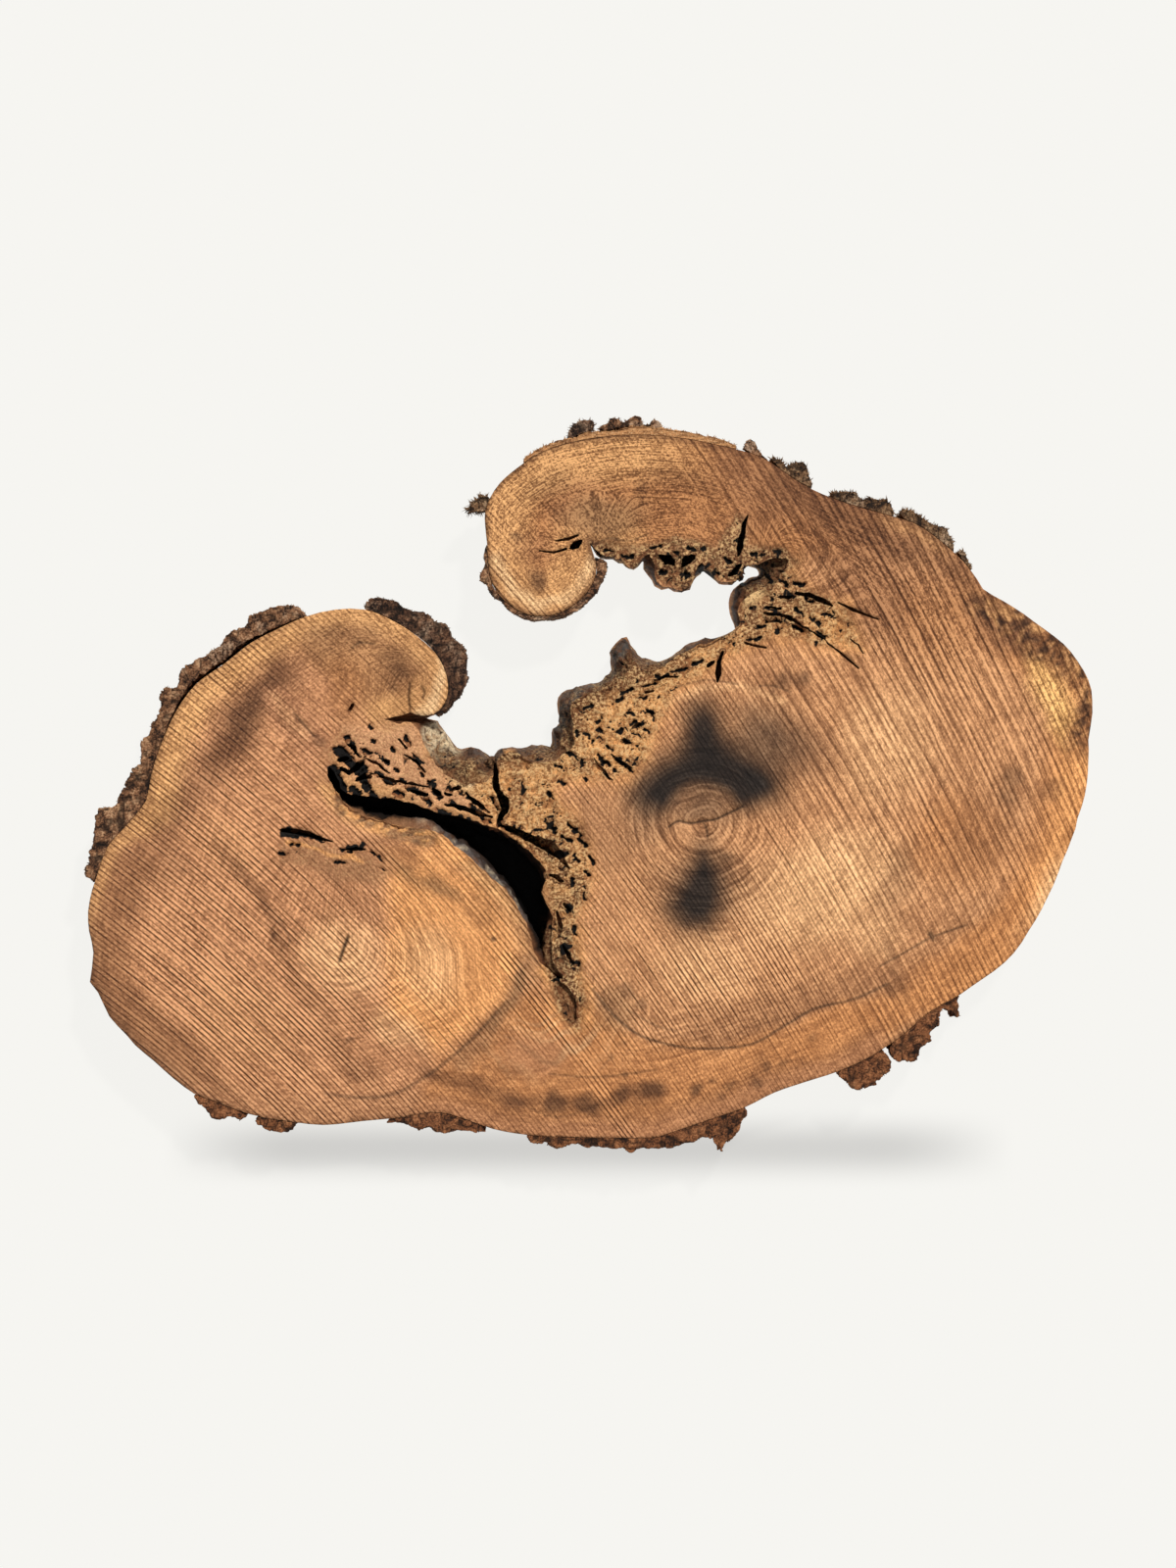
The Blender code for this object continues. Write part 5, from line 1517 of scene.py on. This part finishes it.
# Bark plates, in metres: the size of their faces, coarse and fine lumps, their material, and their
# shreds' count and length.
PLATES = {
    "bark_left_flank": (0.0017, 0.0021, 0.0008, "bark_brown", (520, 0.0042)),
    "bark_left_curl": (0.0016, 0.0018, 0.0008, "bark_pale", (420, 0.0040)),
    "bark_arm_curl": (0.0014, 0.0010, 0.0006, "bark_brown", (320, 0.0034)),
    "bark_shoulder_near": (0.0014, 0.0012, 0.0007, "bark_flaky", (260, 0.0072)),
    "bark_shoulder_middle": (0.0014, 0.0012, 0.0007, "bark_flaky", (420, 0.0072)),
    "bark_shoulder_far": (0.0014, 0.0012, 0.0007, "bark_flaky", (460, 0.0072)),
    "bark_shoulder_end": (0.0014, 0.0012, 0.0007, "bark_flaky", (150, 0.0066)),
    "bark_lower_right_far": (0.0016, 0.0018, 0.0008, "bark_red", (90, 0.0036)),
    "bark_lower_right_near": (0.0016, 0.0018, 0.0008, "bark_red", (90, 0.0036)),
    "bark_bottom_middle": (0.0016, 0.0018, 0.0008, "bark_red", (140, 0.0036)),
    "bark_bottom_centre": (0.0014, 0.0012, 0.0007, "bark_red", (60, 0.0030)),
    "bark_bottom_left": (0.0014, 0.0012, 0.0007, "bark_red", (50, 0.0030)),
    "bark_bottom_far_left": (0.0014, 0.0012, 0.0007, "bark_red", (50, 0.0030)),
    "bast_arm_top": (0.0013, 0.0008, 0.0006, "bast", (520, 0.0060)),
    "bark_flake_dark": (0.0012, 0.0008, 0.0006, "bark_brown", (200, 0.0060)),
    "bark_flake_pale": (0.0012, 0.0008, 0.0006, "bark_pale", (200, 0.0062)),
    "bast_tuft_tip": (0.0010, 0.0006, 0.0005, "bark_flaky", (160, 0.0100)),
    "bark_curled_flake": (0.0012, 0.0008, 0.0006, "bark_brown", (40, 0.0045)),
}


def remeshed(node, voxel):
    """A copy of a node's mesh with even small faces."""
    source = bpy.data.objects.new("source", node.data.copy())
    bpy.context.scene.collection.objects.link(source)
    modifier = source.modifiers.new("even", "REMESH")
    modifier.mode = "VOXEL"
    modifier.voxel_size = voxel
    depsgraph = bpy.context.evaluated_depsgraph_get()
    mesh = bpy.data.meshes.new_from_object(source.evaluated_get(depsgraph))
    bpy.data.objects.remove(source)
    return mesh


def shreds(points, normals, count, length, seed):
    """Small pointed shreds that stand out from a plate: their corners and faces."""
    rng = np.random.default_rng(seed)
    corners, faces = [], []
    for index in rng.choice(len(points), count):
        out = np.array([normals[index, 0], normals[index, 1], 0.0])
        out /= np.linalg.norm(out) + 1e-9
        side = np.array([-out[1], out[0], 0.0])
        way = out + side * rng.uniform(-1.3, 1.3) + np.array([0.0, 0.0, rng.uniform(-0.5, 0.5)])
        way /= np.linalg.norm(way)
        reach = length * rng.uniform(0.35, 1.0)
        bend = side * rng.uniform(-0.4, 0.4) * reach
        half = rng.uniform(0.0004, 0.0010)
        tall = rng.uniform(0.0006, 0.0022)
        base = points[index] - way * 0.0012
        first = len(corners)
        for step, share in ((0.0, 1.0), (0.55, 0.75)):
            middle = base + way * reach * step + bend * step * step
            corners += [middle + side * half * share, middle - side * half * share,
                        middle + np.array([0.0, 0.0, tall * share])]
        corners.append(base + way * reach + bend)
        for a, b in ((0, 1), (1, 2), (2, 0)):
            faces.append((first + a, first + b, first + b + 3, first + a + 3))
            faces.append((first + a + 3, first + b + 3, first + 6))
        faces.append((first + 2, first + 1, first))
    return np.array(corners), faces


def furrowed(co, normal, outside, coarse_size, fine_size):
    """A plate's vertices moved into furrows, slits and crumbs, and its pattern for the material."""
    x, y, z = co.T
    furrow = layered_noise(x / 0.010, y / 0.010, z / 0.034, 101, 4)
    slit = smooth(0.82, 0.98, 1.0 - np.abs(value_noise(x / 0.0085, y / 0.0085, z / 0.022, 103)))
    split = smooth(0.84, 0.98, 1.0 - np.abs(value_noise(x / 0.005, y / 0.005, z / 0.009, 104)))
    slit = np.maximum(slit, 0.7 * split)
    crumb = layered_noise(x / 0.0032, y / 0.0032, z / 0.0032, 105, 2)
    relief = 1.3 * coarse_size * furrow + fine_size * crumb - 1.4 * coarse_size * slit
    upward = smooth(0.6, 0.95, normal[:, 2])
    sunk_top = 0.0016 * slit + 0.0008 * (1.0 + crumb) + 0.4 * coarse_size * (1.0 + furrow)
    push = relief * outside * (1 - upward) - upward * sunk_top
    return co + normal * push[:, None], np.stack([furrow + 0.4 * crumb, slit, upward], 1)


def rough_plate(name, wood_tree, limits, materials):
    """Replaces a plate by a finely furrowed one with shreds."""
    voxel, coarse_size, fine_size, material, shred_settings = PLATES[name]
    plate = remeshed(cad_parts[name], voxel)
    co = vertex_values(plate, "co")
    normal = vertex_values(plate, "normal")
    outside = smooth(0.0008, 0.005, np.array([wood_tree.find_nearest(Vector(v))[3] for v in co]))
    moved, pattern = furrowed(co, normal, outside, coarse_size, fine_size)
    outer = (outside > 0.7) & (np.abs(normal[:, 2]) < 0.5)
    shred_corners, shred_faces = shreds(moved[outer], normal[outer], *shred_settings, len(name))
    low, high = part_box(name)
    corners = np.vstack([moved, shred_corners])
    corners[:, 2] = np.clip(corners[:, 2], low[2], high[2])
    corners = np.clip(corners, limits[0], limits[1])
    faces = [tuple(face.vertices) for face in plate.polygons]
    faces += [tuple(len(co) + corner for corner in face) for face in shred_faces]
    mesh = bpy.data.meshes.new("rough_" + name)
    mesh.from_pydata(corners.tolist(), [], faces)
    relief = np.zeros((len(corners), 3))
    relief[:, 0] = 0.3
    relief[:len(co)] = pattern
    write_vectors(mesh, "relief", *relief.T)
    mesh.materials.append(materials[material])
    finish_piece("rough_" + name, mesh, name)


def finish_piece(piece_name, mesh, node_name):
    mesh.shade_smooth()
    piece = bpy.data.objects.new(piece_name, mesh)
    bpy.context.scene.collection.objects.link(piece)
    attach(piece, "root")
    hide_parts(node_name)


def sawn_wood():
    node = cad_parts["wood"]
    bm, outer = wood_mesh(node)
    mesh = bpy.data.meshes.new("sawn_wood")
    bm.to_mesh(mesh)
    bm.free()
    wood_attributes(mesh, outer)
    mesh.materials.append(wood_material())
    finish_piece("sawn_wood", mesh, "wood")
    mesh.set_sharp_from_angle(angle=SHARP_ANGLE)


def bark_materials():
    materials = {name: bark_material(name, *look) for name, look in BARKS.items()}
    materials["bast"] = bast_material()
    return materials


# Floor, light and camera


def floor_material():
    """A pale floor that glows, with a painted soft shadow in its glow below the slice and hardly any
    real shadow.
    """
    nodes = Nodes("pale_floor")
    position = nodes.parts(nodes.stretched(1.0, 1.0, 1.0))
    away_y = nodes.math("ABSOLUTE", nodes.math("SUBTRACT", position[1], FLOOR_SHADE_Y))
    away_x = nodes.math("ABSOLUTE", position[0])
    band_y = nodes.spread(away_y, *FLOOR_SHADE_DEEP)
    band_x = nodes.spread(away_x, *FLOOR_SHADE_WIDE)
    band = nodes.times(nodes.math("POWER", band_y, 1.4), nodes.math("POWER", band_x, 0.7))
    pale = shade(FLOOR_PALE)
    glow = nodes.tree.nodes.new("ShaderNodeEmission")
    # The glow turns to the painted shadow's colour in a band below the slice.
    nodes.feed(glow.inputs["Color"], nodes.mix(band, pale, shade(FLOOR_SHADE)))
    matte = nodes.tree.nodes.new("ShaderNodeBsdfDiffuse")
    matte.inputs["Color"].default_value = (*pale, 1.0)
    blend = nodes.tree.nodes.new("ShaderNodeMixShader")
    blend.inputs[0].default_value = FLOOR_MATTE
    nodes.feed(blend.inputs[1], glow.outputs[0])
    nodes.feed(blend.inputs[2], matte.outputs[0])
    output = nodes.tree.nodes["Material Output"]
    nodes.feed(output.inputs["Surface"], blend.outputs[0])
    return nodes.material


def add_floor():
    mesh = bpy.data.meshes.new("floor")
    size = FLOOR_SIZE
    mesh.from_pydata([(-size, -size, 0), (size, -size, 0), (size, size, 0), (-size, size, 0)], [],
                     [(0, 1, 2, 3)])
    mesh.materials.append(floor_material())
    floor = bpy.data.objects.new("floor", mesh)
    floor.location.z = -FLOOR_GAP
    bpy.context.scene.collection.objects.link(floor)


def add_lights():
    world = bpy.data.worlds.new("studio")
    world.use_nodes = True
    background = world.node_tree.nodes["Background"]
    background.inputs["Color"].default_value = SKY_COLOUR
    background.inputs["Strength"].default_value = SKY_STRENGTH
    bpy.context.scene.world = world
    sun = bpy.data.lights.new("sun", "SUN")
    sun.energy = SUN_STRENGTH
    sun.angle = SUN_WIDTH
    sun.color = SUN_COLOUR
    lamp = bpy.data.objects.new("sun", sun)
    lamp.rotation_euler = Vector(SUN_DIRECTION).to_track_quat("Z", "Y").to_euler()
    bpy.context.scene.collection.objects.link(lamp)


def add_camera():
    camera = bpy.data.cameras.new("camera")
    camera.sensor_width = SENSOR
    camera.lens = SENSOR * CAMERA_HEIGHT / (PICTURE_HEIGHT * UNIT)
    camera.clip_end = 100.0
    holder = bpy.data.objects.new("camera", camera)
    x, y = place(*PICTURE_CENTRE)
    holder.location = (x, y, THICKNESS + CAMERA_HEIGHT)
    bpy.context.scene.collection.objects.link(holder)
    bpy.context.scene.camera = holder
    bpy.context.scene.view_settings.view_transform = "Standard"


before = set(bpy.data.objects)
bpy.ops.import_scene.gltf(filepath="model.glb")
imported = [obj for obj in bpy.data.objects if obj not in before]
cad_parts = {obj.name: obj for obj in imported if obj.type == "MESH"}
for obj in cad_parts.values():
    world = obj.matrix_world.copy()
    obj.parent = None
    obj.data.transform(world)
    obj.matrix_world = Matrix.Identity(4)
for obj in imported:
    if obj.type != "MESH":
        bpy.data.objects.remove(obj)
cad_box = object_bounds()
add_camera()
add_lights()
add_floor()
wood_tree = tree_of(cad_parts["wood"])
sawn_wood()
plate_materials = bark_materials()
for plate_name in PLATES:
    rough_plate(plate_name, wood_tree, cad_box, plate_materials)
